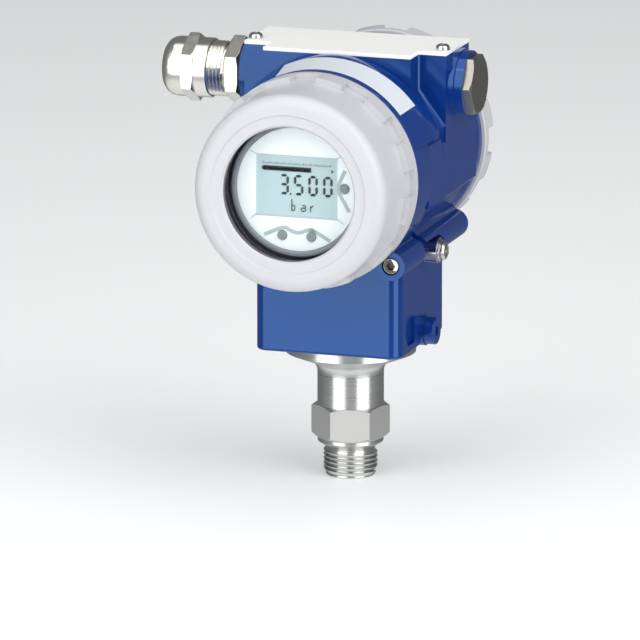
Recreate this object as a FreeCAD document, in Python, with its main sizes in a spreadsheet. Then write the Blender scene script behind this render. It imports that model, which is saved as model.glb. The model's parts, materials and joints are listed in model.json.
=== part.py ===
"""Two-chamber process pressure transmitter with a display window, one parametric document.

Millimetres, +Z up. The origin is on the axis of the process thread, where its full wall begins,
just above the chamfer of its free end.
The display looks along -Y, the cable gland is on the -X side and the blanking plug on +X.
Turned pieces are drawn in a frame of their own, whose Z axis points out of the housing.
"""
import FreeCAD
import Part
import Sketcher

import math
import os
import re

# ---------------------------------------------------------------------------
# Driving dimensions, one spreadsheet cell each
# ---------------------------------------------------------------------------
SIZES = {
    # process connection, heights above the start of the thread's full wall
    "thread_radius": 10.48,
    "thread_end_chamfer": 1.2,
    "thread_end": 8.9,
    "relief_start": 9.7,
    "thread_top": 10.1,
    "relief_radius": 9.1,
    "collar_radius": 13.1,
    "collar_bottom": 12.9,
    "hexagon_bottom": 14.3,
    "hexagon_top": 27.9,
    "wrench_size": 27.0,
    "hexagon_turn": 16.5,
    "hexagon_chamfer": 1.7,
    "hexagon_lower_chamfer": 2.35,
    "hexagon_lower_depth": 2.6,
    "hexagon_top_bite": 0.2,
    "hexagon_root": 1.0,
    "neck_radius": 13.2,
    "neck_line_height": 40.4,
    "neck_line_half_width": 0.2,
    "neck_line_depth": 0.3,
    "flare_bottom": 41.2,
    "flare_cove": 4.6,
    "flare_top": 49.5,
    "seat_radius": 26.0,
    "seat_top": 53.6,
    "spigot_radius": 19.97,
    "spigot_top": 74.8,
    "spigot_chamfer": 1.0,
    "pressure_bore_radius": 2.5,
    "cell_seat": 28.8,
    "cell_cavity_radius": 9.0,
    "cell_play": 0.05,
    "cell_height": 7.0,
    "cell_shoulder": 9.0,
    "cell_stem_radius": 6.0,
    "cell_stem_height": 22.0,
    "cell_header_radius": 3.0,
    "cell_header_height": 27.0,
    "lock_groove_height": 59.5,
    "lock_groove_half_width": 2.4,
    "lock_groove_radius": 18.0,
    "neck_seal_height": 66.8,
    "neck_seal_cord": 1.15,
    "neck_seal_radius": 18.8,
    "neck_seal_play": 0.15,
    "neck_seal_bed": 0.05,
    # how far a cut starts outside what it cuts, and the play of screws in their holes
    "overcut": 1.0,
    "screw_play": 0.02,
    # housing casting
    "axis_height": 128.1,
    "barrel_radius": 39.6,
    "flange_radius": 41.7,
    "rear_flange_radius": 40.6,
    "flange_chamfer": 0.6,
    "flange_slope": 2.0,
    "barrel_front": 45.0,
    "barrel_back": 44.5,
    "front_flange_width": 18.0,
    "rear_flange_width": 7.5,
    "flat_distance": 40.5,
    "flat_bottom": 114.1,
    "flat_top": 140.3,
    "flat_front": 27.0,
    "flat_back": 36.5,
    "flat_edge": 1.0,
    "block_half_width": 30.0,
    "block_foot_rounding": 1.2,
    "block_front": 31.3,
    "block_back": 29.5,
    "block_bottom": 53.9,
    "block_top": 108.8,
    "block_corner": 5.0,
    "socket_radius": 20.02,
    "socket_top": 75.8,
    "cable_way_radius": 7.0,
    "cable_way_front": 12.0,
    "cable_way_length": 21.0,
    "crown_half_width": 30.3,
    "crown_front": 18.5,
    "crown_fillet": 1.8,
    "crown_slope_top": 158.1,
    "crown_slope_bottom": 143.4,
    "crown_foot_half_width": 40.0,
    "tab_half_width": 41.5,
    "tab_front": 8.0,
    "tab_back": 22.5,
    "tab_root": 3.0,
    "fairing_start": 42.0,
    "fairing_end": 25.5,
    "fairing_radius": 44.1,
    "fairing_angle": 144.0,
    "fairing_root_radius": 37.6,
    "fairing_brow": 1.2,
    "fairing_gap": 0.1,
    "fairing_overlap": 3.0,
    "thread_bore_radius": 36.4,
    "thread_bore_depth": 14.0,
    "thread_runout": 1.8,
    "chamber_radius": 34.6,
    "partition_front": 5.0,
    "partition_back": 3.5,
    # cable entries
    "entry_setback": 7.0,
    "entry_height": 158.2,
    "entry_boss_radius": 14.0,
    "entry_boss_start": 30.0,
    "entry_boss_step": 44.0,
    "entry_seat_radius": 13.2,
    "plug_seat": 47.4,
    "gland_seat": 44.5,
    "entry_bore_radius": 10.05,
    "entry_bore_end": 14.0,
    "entry_thread_radius": 9.95,
    "entry_thread_length": 11.0,
    "entry_thread_chamfer": 0.9,
    # rib that carries the lock screws of the covers
    "rib_radius": 5.7,
    "rib_distance": 45.5,
    "rib_angle": 45.7,
    "rib_reach": 48.6,
    "rib_front_end": 21.5,
    "rib_rear_start": 16.5,
    "rib_rear_end": 36.0,
    "rib_root": 36.0,
    "rib_web_share": 0.8,
    "cover_clearance_radius": 42.3,
    "lock_head_radius": 3.2,
    "lock_head_length": 3.0,
    "lock_head_recess": 0.2,
    "lock_head_play": 0.4,
    "lock_drive": 3.0,
    "lock_shank_radius": 2.0,
    "lock_shank_length": 10.0,
    # recess in the right side of the block
    "recess_radius": 5.4,
    "recess_centre": 17.3,
    "recess_rise": 8.5,
    "recess_end": 5.9,
    "recess_depth": 1.5,
    # bosses on the right side of the block
    "side_boss_start": 28.0,
    # earth terminal
    "earth_front": 2.2,
    "earth_height": 92.6,
    "earth_boss_radius": 5.6,
    "earth_thread_radius": 2.0,
    "earth_boss_end": 32.2,
    "earth_hole_depth": 9.0,
    "earth_shank_reach": 8.0,
    "earth_clearance_radius": 6.2,
    "earth_clearance_end": 40.0,
    "earth_clamp_radius": 5.1,
    "earth_hole_play": 0.05,
    "wire_slot_half_width": 3.0,
    "wire_slot_floor": 2.4,
    "wire_slot_height": 3.4,
    "wire_slot_opening": 2.2,
    "earth_clamp_end": 37.4,
    "earth_washer_end": 38.3,
    "earth_washer_radius": 4.4,
    "earth_head_end": 40.6,
    "earth_head_radius": 3.7,
    # neck lock screw
    "neck_boss_radius": 6.0,
    "neck_boss_end": 31.6,
    "neck_head_radius": 5.4,
    "neck_head_end": 35.8,
    "neck_lock_tip": 18.6,
    "neck_lock_radius": 2.0,
    "neck_drive": 4.0,
    # top plate
    "plate_bottom": 171.6,
    "plate_top": 173.1,
    "plate_screw_side": 38.5,
    "plate_screw_front": 2.5,
    "plate_screw_head_radius": 2.8,
    "plate_screw_head_height": 2.3,
    "plate_screw_shank_radius": 1.9,
    "plate_screw_length": 7.5,
    "plate_screw_hole": 7.0,
    "plate_hole_play": 0.15,
    # covers
    "cover_face_radius": 39.0,
    "cover_root_radius": 39.7,
    "rim_radius": 42.0,
    "rim_gap": 0.3,
    "rim_chamfer": 0.4,
    "rim_ring_width": 4.0,
    "rim_teeth_width": 6.7,
    "tooth_angle": 15.0,
    "tooth_phase": 12.5,
    "face_rounding": 5.0,
    "face_step_radius": 31.0,
    "face_step": 0.5,
    "face_step_slope": 0.4,
    "cover_face": 80.0,
    "rear_face": 60.5,
    "rear_thread_length": 11.3,
    "rear_dish_radius": 26.0,
    "rear_dish_depth": 1.0,
    "rear_wall": 6.0,
    "rear_inner_bevel": 3.0,
    "cover_thread_radius": 36.2,
    "cover_thread_end": 34.0,
    "cover_bore_radius": 32.0,
    "seal_cord": 1.0,
    "seal_radius": 35.3,
    "seal_inset": 1.6,
    "seal_bed": 0.1,
    "seal_play": 0.2,
    "cover_thread_chamfer": 0.8,
    "window_radius": 26.5,
    "window_lip": 4.0,
    "window_bevel": 0.8,
    "gasket_inset": 0.4,
    "glass_play": 0.2,
    "glass_ring_play": 0.1,
    "glass_radius": 30.4,
    "glass_front": 75.2,
    "glass_back": 70.6,
    "glass_ring_back": 68.2,
    "glass_ring_radius": 27.6,
    # display, distances in front of the neck axis
    "display_radius": 26.8,
    "display_back": 50.0,
    "display_front": 69.0,
    "display_hub_radius": 12.0,
    "display_hub_gap": 0.3,
    "display_edge": 1.0,
    "display_rim_edge": 0.6,
    "display_floor": 2.0,
    "board_ledge": 2.0,
    "board_play": 0.2,
    "bezel_bevel": 0.4,
    "bezel_radius": 24.5,
    "faceplate_radius": 24.35,
    "faceplate_back": 66.6,
    "faceplate_front": 68.4,
    "board_back": 63.5,
    "board_front": 65.1,
    "display_cavity_radius": 22.5,
    "lcd_width": 32.8,
    "lcd_height": 23.4,
    "lcd_rise": 1.2,
    "lcd_front": 68.0,
    "lcd_play": 0.1,
    "key_radius": 1.9,
    "key_play": 0.15,
    "key_edge": 0.3,
    "key_back": 65.9,
    "key_front": 69.1,
    "key_spacing": 5.9,
    "key_drop": 18.4,
    "side_key_offset": 19.4,
    "side_key_rise": 1.4,
    # electronics and terminals
    "module_radius": 31.5,
    "module_edge": 1.0,
    "module_step": 2.0,
    "module_step_start": 38.0,
    "module_step_end": 39.0,
    "module_front": 44.0,
    "main_board_radius": 28.5,
    "main_board_front": 45.6,
    "bushing_radius": 6.0,
    "bushing_rise": 20.0,
    "bushing_play": 0.05,
    "bushing_collar": 1.5,
    "bushing_pin_radius": 2.5,
    "bushing_pin_reach": 5.0,
    "terminal_half_width": 21.0,
    "terminal_top": 7.0,
    "terminal_bottom": 13.0,
    "terminal_back": 19.5,
    "terminal_pitch": 10.0,
    "terminal_edge": 3.0,
    "terminal_screw_radius": 2.9,
    "terminal_screw_play": 0.2,
    "terminal_screw_rise": 1.0,
    "terminal_screw_sink": 3.0,
    "terminal_screw_height": 2.2,
    "terminal_shank_radius": 1.7,
    "terminal_shank_length": 7.0,
    "terminal_hole_depth": 11.0,
    "funnel_half_width": 2.4,
    "funnel_bottom": 11.0,
    "funnel_top": 6.0,
    "funnel_depth": 6.0,
    # cable gland, distances from the neck axis
    "gland_hexagon_start": 45.5,
    "gland_hexagon_end": 51.1,
    "gland_wrench_size": 24.0,
    "gland_chamfer": 1.0,
    "gland_chamfer_depth": 1.5,
    "gland_thread_chamfer": 0.8,
    "gland_relief_end": 51.9,
    "gland_thread_start": 52.5,
    "gland_through_radius": 6.8,
    "gland_thread_radius": 11.0,
    "gland_body_end": 66.0,
    "gland_bore_radius": 8.6,
    "gland_bore_end": 50.0,
    "gland_nut_start": 58.9,
    "gland_nut_hexagon_start": 64.4,
    "gland_nut_hexagon_end": 69.4,
    "gland_nut_end": 78.3,
    "gland_nut_radius": 11.9,
    "gland_nut_bore_radius": 11.1,
    "gland_nut_chamfer": 0.4,
    "gland_dome_width": 4.6,
    "gland_dome_length": 5.2,
    "gland_cone_start": 70.9,
    "gland_cone_middle": 73.7,
    "gland_cone_end": 75.1,
    "gland_cone_radius": 8.95,
    "gland_mouth_chamfer": 0.8,
    "gland_mouth_radius": 6.8,
    "gland_seal_play": 0.1,
    "gland_oring_radius": 12.4,
    "gland_insert_start": 58.0,
    "gland_insert_play": 0.05,
    "gland_insert_chamfer": 0.8,
    "gland_insert_slope": 1.5,
    "gland_seal_inset": 1.0,
    "gland_insert_end": 74.3,
    "gland_insert_radius": 8.45,
    "gland_seal_radius": 7.3,
    "cable_radius": 5.5,
    # blanking plug
    "plug_wrench_size": 22.0,
    "plug_end": 50.9,
    "plug_chamfer": 1.5,
    "plug_face_edge": 0.1,
    "plug_groove_start": 3.0,
    "plug_groove_floor": 2.8,
    "plug_groove_depth": 1.3,
    "plug_seal_inset": 1.4,
    "plug_seal_cord": 0.6,
    "core_overlap": 0.5,
}

SHEET_NAME = "Sizes"
doc = FreeCAD.newDocument("pressure_transmitter")
pieces = {}

X_AXIS = FreeCAD.Vector(1, 0, 0)
Z_AXIS = FreeCAD.Vector(0, 0, 1)
UP = FreeCAD.Rotation()
FRONT = FreeCAD.Rotation(X_AXIS, 90)
REAR = FreeCAD.Rotation(Z_AXIS, 180) * FRONT
RIGHT = FreeCAD.Rotation(Z_AXIS, 90) * FRONT
LEFT = FreeCAD.Rotation(Z_AXIS, -90) * FRONT


def fill_sheet():
    """Write every driving dimension into the spreadsheet under its alias."""
    sheet = doc.addObject("Spreadsheet::Sheet", SHEET_NAME)
    for row, (alias, value) in enumerate(SIZES.items(), 1):
        sheet.set(f"A{row}", alias)
        sheet.set(f"B{row}", str(value))
        sheet.setAlias(f"B{row}", alias)
    doc.recompute()


def bound(expression):
    """Return the expression with each alias pointing at its spreadsheet cell."""
    def cell(match):
        word = match.group()
        return f"{SHEET_NAME}.{word}" if word in SIZES else word
    return re.sub(r"[a-z][a-z_]*", cell, str(expression))


# ---------------------------------------------------------------------------
# Building blocks
# ---------------------------------------------------------------------------
def new_body(label, rotation=UP, place=("0", "0", "0")):
    """Start a body whose own frame stands at the given place, in expressions."""
    body = doc.addObject("PartDesign::Body", label)
    body.Label = label
    body.Placement = FreeCAD.Placement(FreeCAD.Vector(), rotation)
    for axis, expression in zip("xyz", place):
        body.setExpression(f"Placement.Base.{axis}", bound(expression))
    pieces[label] = body
    return body


def new_sketch(body, role="XY_Plane", offset="0"):
    """Attach an empty sketch to one of the body's own planes, lifted along its normal."""
    plane = next(item for item in body.Origin.OriginFeatures if item.Role == role)
    sketch = body.newObject("Sketcher::SketchObject", f"{body.Label}_sketch")
    sketch.AttachmentSupport = [(plane, "")]
    sketch.MapMode = "FlatFace"
    sketch.setExpression("AttachmentOffset.Base.z", bound(offset))
    return sketch


def draw_polygon(sketch, corners):
    """Draw a closed outline with straight sides through corners given as expressions."""
    count = len(corners)
    start = sketch.GeometryCount
    turn = 2 * math.pi / count
    guess = [FreeCAD.Vector(50 * math.cos(i * turn), 50 * math.sin(i * turn), 0) for i in range(count)]
    for i in range(count):
        sketch.addGeometry(Part.LineSegment(guess[i], guess[(i + 1) % count]), False)
    joins = []
    for i in range(count):
        following = start + (i + 1) % count
        joins.append(Sketcher.Constraint("Coincident", start + i, 2, following, 1))
    for i in range(count):
        joins.append(Sketcher.Constraint("DistanceX", -1, 1, start + i, 1, guess[i].x))
        joins.append(Sketcher.Constraint("DistanceY", -1, 1, start + i, 1, guess[i].y))
    first = sketch.ConstraintCount + count
    sketch.addConstraint(joins)
    for i, (across, along) in enumerate(corners):
        sketch.setExpression(f"Constraints[{first + 2 * i}]", bound(across))
        sketch.setExpression(f"Constraints[{first + 2 * i + 1}]", bound(along))


def draw_circle(sketch, radius, centre=("0", "0")):
    """Draw a circle with its radius and centre given as expressions."""
    guess = Part.Circle(FreeCAD.Vector(1, 1, 0), Z_AXIS, 5)
    index = sketch.addGeometry(guess, False)
    first = sketch.ConstraintCount
    sketch.addConstraint([
        Sketcher.Constraint("Radius", index, 5),
        Sketcher.Constraint("DistanceX", -1, 1, index, 3, 1),
        Sketcher.Constraint("DistanceY", -1, 1, index, 3, 1),
    ])
    for step, expression in enumerate((radius, centre[0], centre[1])):
        sketch.setExpression(f"Constraints[{first + step}]", bound(expression))


def draw_round_end(sketch, radius, centre, straight):
    """Draw a D: a half circle towards -X about the centre, closed by a straight side."""
    arc = Part.ArcOfCircle(Part.Circle(FreeCAD.Vector(), Z_AXIS, 5), math.pi / 2, 3 * math.pi / 2)
    points = [FreeCAD.Vector(x, y, 0) for x, y in ((0, 5), (8, 5), (8, -5), (0, -5))]
    for start, end in zip(points, points[1:]):
        sketch.addGeometry(Part.LineSegment(start, end), False)
    sketch.addGeometry(arc, False)
    sketch.addConstraint([
        Sketcher.Constraint("Coincident", 0, 2, 1, 1),
        Sketcher.Constraint("Coincident", 1, 2, 2, 1),
        Sketcher.Constraint("Tangent", 3, 1, 0, 1),
        Sketcher.Constraint("Tangent", 2, 2, 3, 2),
        Sketcher.Constraint("Horizontal", 0),
        Sketcher.Constraint("Horizontal", 2),
        Sketcher.Constraint("Vertical", 1),
        Sketcher.Constraint("Radius", 3, 5),
        Sketcher.Constraint("DistanceX", -1, 1, 3, 3, 1),
        Sketcher.Constraint("DistanceY", -1, 1, 3, 3, 1),
        Sketcher.Constraint("DistanceX", -1, 1, 1, 1, 8),
    ])
    for index, expression in enumerate((radius, centre[0], centre[1], straight), 7):
        sketch.setExpression(f"Constraints[{index}]", bound(expression))


def rectangle(left, right, bottom, top):
    """Return the four corners of a rectangle."""
    return [(left, bottom), (right, bottom), (right, top), (left, top)]


def turn_profile(body, corners, cut=False, angle=None, role="XZ_Plane", axis="V_Axis"):
    """Revolve a profile about an axis of its sketch; a part turn is centred on the sketch."""
    sketch = new_sketch(body, role)
    draw_polygon(sketch, corners)
    kind = "PartDesign::Groove" if cut else "PartDesign::Revolution"
    feature = body.newObject(kind, f"{body.Label}_turned")
    feature.Profile = sketch
    feature.ReferenceAxis = (sketch, [axis])
    if angle is None:
        feature.Angle = 360
    else:
        feature.setExpression("Angle", bound(angle))
        feature.Midplane = True
    return feature


def extrude(body, sketch, length, cut=False, backwards=False):
    """Pad a sketch along its normal, or pocket it against its normal."""
    feature = body.newObject("PartDesign::Pocket" if cut else "PartDesign::Pad", f"{body.Label}_extruded")
    feature.Profile = sketch
    feature.setExpression("Length", bound(length))
    feature.Reversed = backwards
    return feature


def prism(body, corners, start, length, role="XY_Plane", cut=False, backwards=False):
    """Pad or pocket a polygon from a plane that lies at a distance from the body's own one."""
    sketch = new_sketch(body, role, start)
    draw_polygon(sketch, corners)
    return extrude(body, sketch, length, cut, backwards)


def round_prism(body, radius, start, length, centre=("0", "0"), role="XY_Plane",
                cut=False, backwards=False):
    """Pad or pocket a circle from a plane that lies at a distance from the body's own one."""
    sketch = new_sketch(body, role, start)
    draw_circle(sketch, radius, centre)
    return extrude(body, sketch, length, cut, backwards)


def hexagon(wrench_size, first_angle=0):
    """Return the corners of a hexagon, the first of them at an angle in degrees."""
    reach = f"({wrench_size}) / 2 / cos(30)"
    angles = [f"({first_angle} + {60 * i})" for i in range(6)]
    return [(f"{reach} * cos({angle})", f"{reach} * sin({angle})") for angle in angles]


def edges_where(feature, test):
    """Return the names of a feature's edges that pass a test on their two ends."""
    names = []
    for index, edge in enumerate(feature.Shape.Edges, 1):
        ends = [vertex.Point for vertex in edge.Vertexes]
        if len(ends) == 2 and test(ends[0], ends[1]):
            names.append(f"Edge{index}")
    return names


def soften(body, feature, names, size, kind="Fillet"):
    """Fillet or chamfer the named edges of a feature."""
    dress = body.newObject(f"PartDesign::{kind}", f"{body.Label}_{kind.lower()}")
    dress.Base = (feature, names)
    dress.setExpression("Radius" if kind == "Fillet" else "Size", bound(size))
    return dress


def pattern_round(body, feature, count):
    """Repeat a feature evenly about the body's Z axis and make the result the tip."""
    axis = next(item for item in body.Origin.OriginFeatures if item.Role == "Z_Axis")
    pattern = body.newObject("PartDesign::PolarPattern", f"{body.Label}_pattern")
    pattern.Originals = [feature]
    pattern.Axis = (axis, [""])
    pattern.Angle = 360
    pattern.Occurrences = count
    body.Tip = pattern
    return pattern


def socket_head_screw(label, rotation, place, head, head_length, shank, shank_length, drive):
    """Turn a screw with an inner hexagon; its place is the underside of its head."""
    body = new_body(label, rotation, place)
    head_length = f"({head_length})"
    turn_profile(body, [
        ("0", f"-({shank_length})"),
        (f"{shank} - 0.4", f"-({shank_length})"),
        (shank, f"0.4 - ({shank_length})"),
        (shank, "0"),
        (head, "0"),
        (head, f"{head_length} - 0.3"),
        (f"{head} - 0.3", head_length),
        ("0", head_length),
    ])
    prism(body, hexagon(drive), head_length, f"{head_length} * 0.6", cut=True)
    return body


def pan_head_screw(label, rotation, place, head, head_height, shank, shank_length, cross):
    """Turn a screw with a domed head and a slot or cross; its place is under the head."""
    body = new_body(label, rotation, place)
    head_height = f"({head_height})"
    turn_profile(body, [
        ("0", f"-({shank_length})"),
        (shank, f"-({shank_length})"),
        (shank, "0"),
        (head, "0"),
        (head, f"{head_height} * 0.45"),
        (f"{head} * 0.86", f"{head_height} * 0.8"),
        (f"{head} * 0.55", head_height),
        ("0", head_height),
    ])
    slots = [("0.72", "0.13"), ("0.13", "0.72")] if cross else [("1.2", "0.16")]
    for along, across in slots:
        long_half = f"{head} * {along}"
        short_half = f"{head} * {across}"
        corners = rectangle(f"-({long_half})", long_half, f"-({short_half})", short_half)
        prism(body, corners, head_height, f"{head_height} * 0.5", cut=True)
    return body


def seal_ring(label, rotation, place, ring, cord):
    """Make a round-section ring; its place is the ring's centre."""
    body = new_body(label, rotation, place)
    sketch = new_sketch(body, "XZ_Plane")
    draw_circle(sketch, cord, (ring, "0"))
    feature = body.newObject("PartDesign::Revolution", f"{label}_turned")
    feature.Profile = sketch
    feature.ReferenceAxis = (sketch, ["V_Axis"])
    feature.Angle = 360
    return body


def flat_ring(label, rotation, place, inner, outer, start, end):
    """Turn a ring of rectangular section between two distances."""
    body = new_body(label, rotation, place)
    turn_profile(body, rectangle(inner, outer, start, end))
    return body


# ---------------------------------------------------------------------------
# Process side
# ---------------------------------------------------------------------------
AXIS_PLACE = ("0", "0", "axis_height")


def build_process_connection():
    """Turn the thread spigot, collar, neck, flare and swivel spigot, then add the hexagon."""
    body = new_body("process_connection")
    groove_low = "lock_groove_height - lock_groove_half_width"
    groove_high = "lock_groove_height + lock_groove_half_width"
    seal_low = "neck_seal_height - neck_seal_cord - neck_seal_play"
    seal_high = "neck_seal_height + neck_seal_cord + neck_seal_play"
    seal_floor = "neck_seal_radius - neck_seal_cord - neck_seal_bed"
    cove = [(f"neck_radius + flare_cove * (1 - cos({angle}))", f"flare_bottom + flare_cove * sin({angle})")
            for angle in (0, 18, 36, 54, 72)]
    turn_profile(body, [
        ("pressure_bore_radius", "-thread_end_chamfer"),
        ("thread_radius - thread_end_chamfer", "-thread_end_chamfer"),
        ("thread_radius", "0"),
        ("thread_radius", "thread_end"),
        ("relief_radius", "relief_start"),
        ("relief_radius", "thread_top"),
        ("collar_radius", "collar_bottom"),
        ("collar_radius", "hexagon_bottom"),
        ("neck_radius", "hexagon_bottom"),
        ("neck_radius", "neck_line_height"),
        ("neck_radius - neck_line_depth", "neck_line_height + neck_line_half_width"),
        ("neck_radius", "neck_line_height + 2 * neck_line_half_width"),
        *cove,
        ("seat_radius", "flare_top"),
        ("seat_radius", "seat_top"),
        ("spigot_radius", "seat_top"),
        ("spigot_radius", groove_low),
        ("lock_groove_radius", groove_low),
        ("lock_groove_radius", groove_high),
        ("spigot_radius", groove_high),
        ("spigot_radius", seal_low),
        (seal_floor, seal_low),
        (seal_floor, seal_high),
        ("spigot_radius", seal_high),
        ("spigot_radius", "spigot_top - spigot_chamfer"),
        ("spigot_radius - spigot_chamfer", "spigot_top"),
        ("cell_cavity_radius", "spigot_top"),
        ("cell_cavity_radius", "cell_seat"),
        ("pressure_bore_radius", "cell_seat"),
    ])
    prism_ring = new_sketch(body, "XY_Plane", "hexagon_bottom")
    draw_polygon(prism_ring, hexagon("wrench_size", "240 + hexagon_turn"))
    draw_circle(prism_ring, "neck_radius - hexagon_root")
    extrude(body, prism_ring, "hexagon_top - hexagon_bottom")
    corner = "wrench_size / 2 / cos(30)"
    turn_profile(body, [
        (f"{corner} - hexagon_lower_depth", "hexagon_bottom"),
        (f"{corner} + overcut", "hexagon_bottom"),
        (f"{corner} + overcut", "hexagon_bottom + hexagon_lower_chamfer"),
    ], cut=True)
    turn_profile(body, [
        ("wrench_size / 2 - hexagon_top_bite", "hexagon_top"),
        (f"{corner} + overcut", "hexagon_top"),
        (f"{corner} + overcut", "hexagon_top - hexagon_chamfer"),
    ], cut=True)


def build_sensor_capsule():
    """Turn the measuring cell and the header above it."""
    body = new_body("sensor_capsule")
    turn_profile(body, [
        ("0", "cell_seat"),
        ("cell_cavity_radius - cell_play", "cell_seat"),
        ("cell_cavity_radius - cell_play", "cell_seat + cell_height"),
        ("cell_stem_radius", "cell_seat + cell_shoulder"),
        ("cell_stem_radius", "cell_seat + cell_stem_height"),
        ("cell_header_radius", "cell_seat + cell_stem_height"),
        ("cell_header_radius", "cell_seat + cell_header_height"),
        ("0", "cell_seat + cell_header_height"),
    ])


# ---------------------------------------------------------------------------
# Housing
# ---------------------------------------------------------------------------
def add_block(body):
    """Lower block with rounded upright corners and a softened underside."""
    corners = rectangle("-block_half_width", "block_half_width", "-block_front", "block_back")
    pad = prism(body, corners, "block_bottom - axis_height", "block_top - block_bottom")
    doc.recompute()
    upright = edges_where(pad, lambda a, b: abs(a.z - b.z) > 1)
    rounded = soften(body, pad, upright, "block_corner")
    doc.recompute()
    floor = SIZES["block_bottom"] - SIZES["axis_height"]
    low = edges_where(rounded, lambda a, b: abs(a.z - floor) < 0.01 and abs(b.z - floor) < 0.01)
    soften(body, rounded, low, "block_foot_rounding")


def add_barrel(body):
    """Barrel along Y with a wide front flange, a narrow rear one and two side flats."""
    turn_profile(body, [
        ("-barrel_front", "0"),
        ("-barrel_front", "flange_radius - flange_chamfer"),
        ("flange_chamfer - barrel_front", "flange_radius"),
        ("front_flange_width - barrel_front", "flange_radius"),
        ("front_flange_width - barrel_front + flange_slope", "barrel_radius"),
        ("barrel_back - rear_flange_width - flange_slope", "barrel_radius"),
        ("barrel_back - rear_flange_width", "rear_flange_radius"),
        ("barrel_back - flange_chamfer", "rear_flange_radius"),
        ("barrel_back", "rear_flange_radius - flange_chamfer"),
        ("barrel_back", "0"),
    ], role="YZ_Plane", axis="H_Axis")
    low = "flat_bottom - axis_height"
    high = "flat_top - axis_height"
    corners = [
        ("-flat_distance", f"{low} + flat_edge"),
        ("flat_edge - flat_distance", low),
        ("flat_distance - flat_edge", low),
        ("flat_distance", f"{low} + flat_edge"),
        ("flat_distance", f"{high} - flat_edge"),
        ("flat_distance - flat_edge", high),
        ("flat_edge - flat_distance", high),
        ("-flat_distance", f"{high} - flat_edge"),
    ]
    prism(body, corners, "-flat_back", "flat_front + flat_back", "XZ_Plane")


def crown_outline(wider):
    """Outline of the crown seen from the front, with its splayed feet, grown to the sides."""
    right = [
        (f"crown_foot_half_width + {wider}", "0"),
        (f"crown_foot_half_width + {wider}", "crown_slope_bottom - axis_height"),
        (f"crown_half_width + {wider}", "crown_slope_top - axis_height"),
        (f"crown_half_width + {wider}", f"plate_bottom - axis_height + {wider}"),
    ]
    return right + [(f"-({across})", rise) for across, rise in reversed(right)]


def add_crown(body):
    """Crown under the top plate, the two set-back tabs and the fillets between them."""
    prism(body, crown_outline("0"), "-tab_back", "crown_front + tab_back", "XZ_Plane")
    tabs = rectangle("-tab_half_width", "tab_half_width",
                     "flat_top - axis_height - tab_root", "plate_bottom - axis_height")
    prism(body, tabs, "-tab_back", "tab_front + tab_back", "XZ_Plane")
    fillet = prism(body, crown_outline("crown_fillet"), "tab_front", "crown_fillet", "XZ_Plane")
    fillet.TaperAngle = -45


def add_fairing(body):
    """Cone round the upper half of the front flange; the data strip lies on it."""
    turn_profile(body, [
        ("-fairing_start", "fairing_root_radius"),
        ("-fairing_start", "flange_radius"),
        ("-fairing_end", "fairing_radius"),
        ("-crown_front - fairing_brow", "fairing_radius"),
        ("-crown_front", "plate_bottom - axis_height - fairing_gap"),
        ("fairing_overlap - crown_front", "plate_bottom - axis_height - fairing_gap"),
        ("fairing_overlap - crown_front", "fairing_root_radius"),
    ], angle="fairing_angle", role="YZ_Plane", axis="H_Axis")


def add_entry_bosses(body):
    """Stepped round bosses of the two cable entries, levelled under the top plate."""
    centre = ("entry_setback", "entry_height - axis_height")
    for side, seat in (("1", "plug_seat"), ("-1", "gland_seat")):
        backwards = side == "-1"
        round_prism(body, "entry_boss_radius", f"{side} * entry_boss_start",
                    "entry_boss_step - entry_boss_start", centre, "YZ_Plane", backwards=backwards)
        round_prism(body, "entry_seat_radius", f"{side} * entry_boss_start",
                    f"{seat} - entry_boss_start", centre, "YZ_Plane", backwards=backwards)
    level = rectangle("-plug_seat - overcut", "plug_seat + overcut", "-crown_front", "tab_back + overcut")
    prism(body, level, "plate_bottom - axis_height", "crown_fillet + overcut", cut=True, backwards=True)


def rib_point(distance, aside):
    """Corner at a distance from the barrel axis along the rib's direction, moved aside."""
    return (f"({distance}) * cos(rib_angle) + ({aside}) * sin(rib_angle)",
            f"({aside}) * cos(rib_angle) - ({distance}) * sin(rib_angle)")


def add_lock_rib(body):
    """Round rib for the cover lock screws, in a front and a rear length, each on a flat web."""
    centre = rib_point("rib_distance", "0")
    web = [
        rib_point("rib_root", "-rib_web_share * rib_radius"),
        rib_point("rib_distance", "-rib_web_share * rib_radius"),
        rib_point("rib_distance", "rib_web_share * rib_radius"),
        rib_point("rib_root", "rib_web_share * rib_radius"),
    ]
    lengths = (("rib_front_end", "rib_reach - rib_front_end"),
               ("-rib_rear_end", "rib_rear_end + rib_rear_start"))
    for start, length in lengths:
        round_prism(body, "rib_radius", start, length, centre, "XZ_Plane")
        prism(body, web, start, length, "XZ_Plane")


def add_side_bosses(body):
    """Boss of the earth terminal and boss of the neck lock screw, both on the right."""
    round_prism(body, "earth_boss_radius", "side_boss_start", "earth_boss_end - side_boss_start",
                ("-earth_front", "earth_height - axis_height"), "YZ_Plane")
    round_prism(body, "neck_boss_radius", "side_boss_start", "neck_boss_end - side_boss_start",
                ("0", "lock_groove_height - axis_height"), "YZ_Plane")


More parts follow.
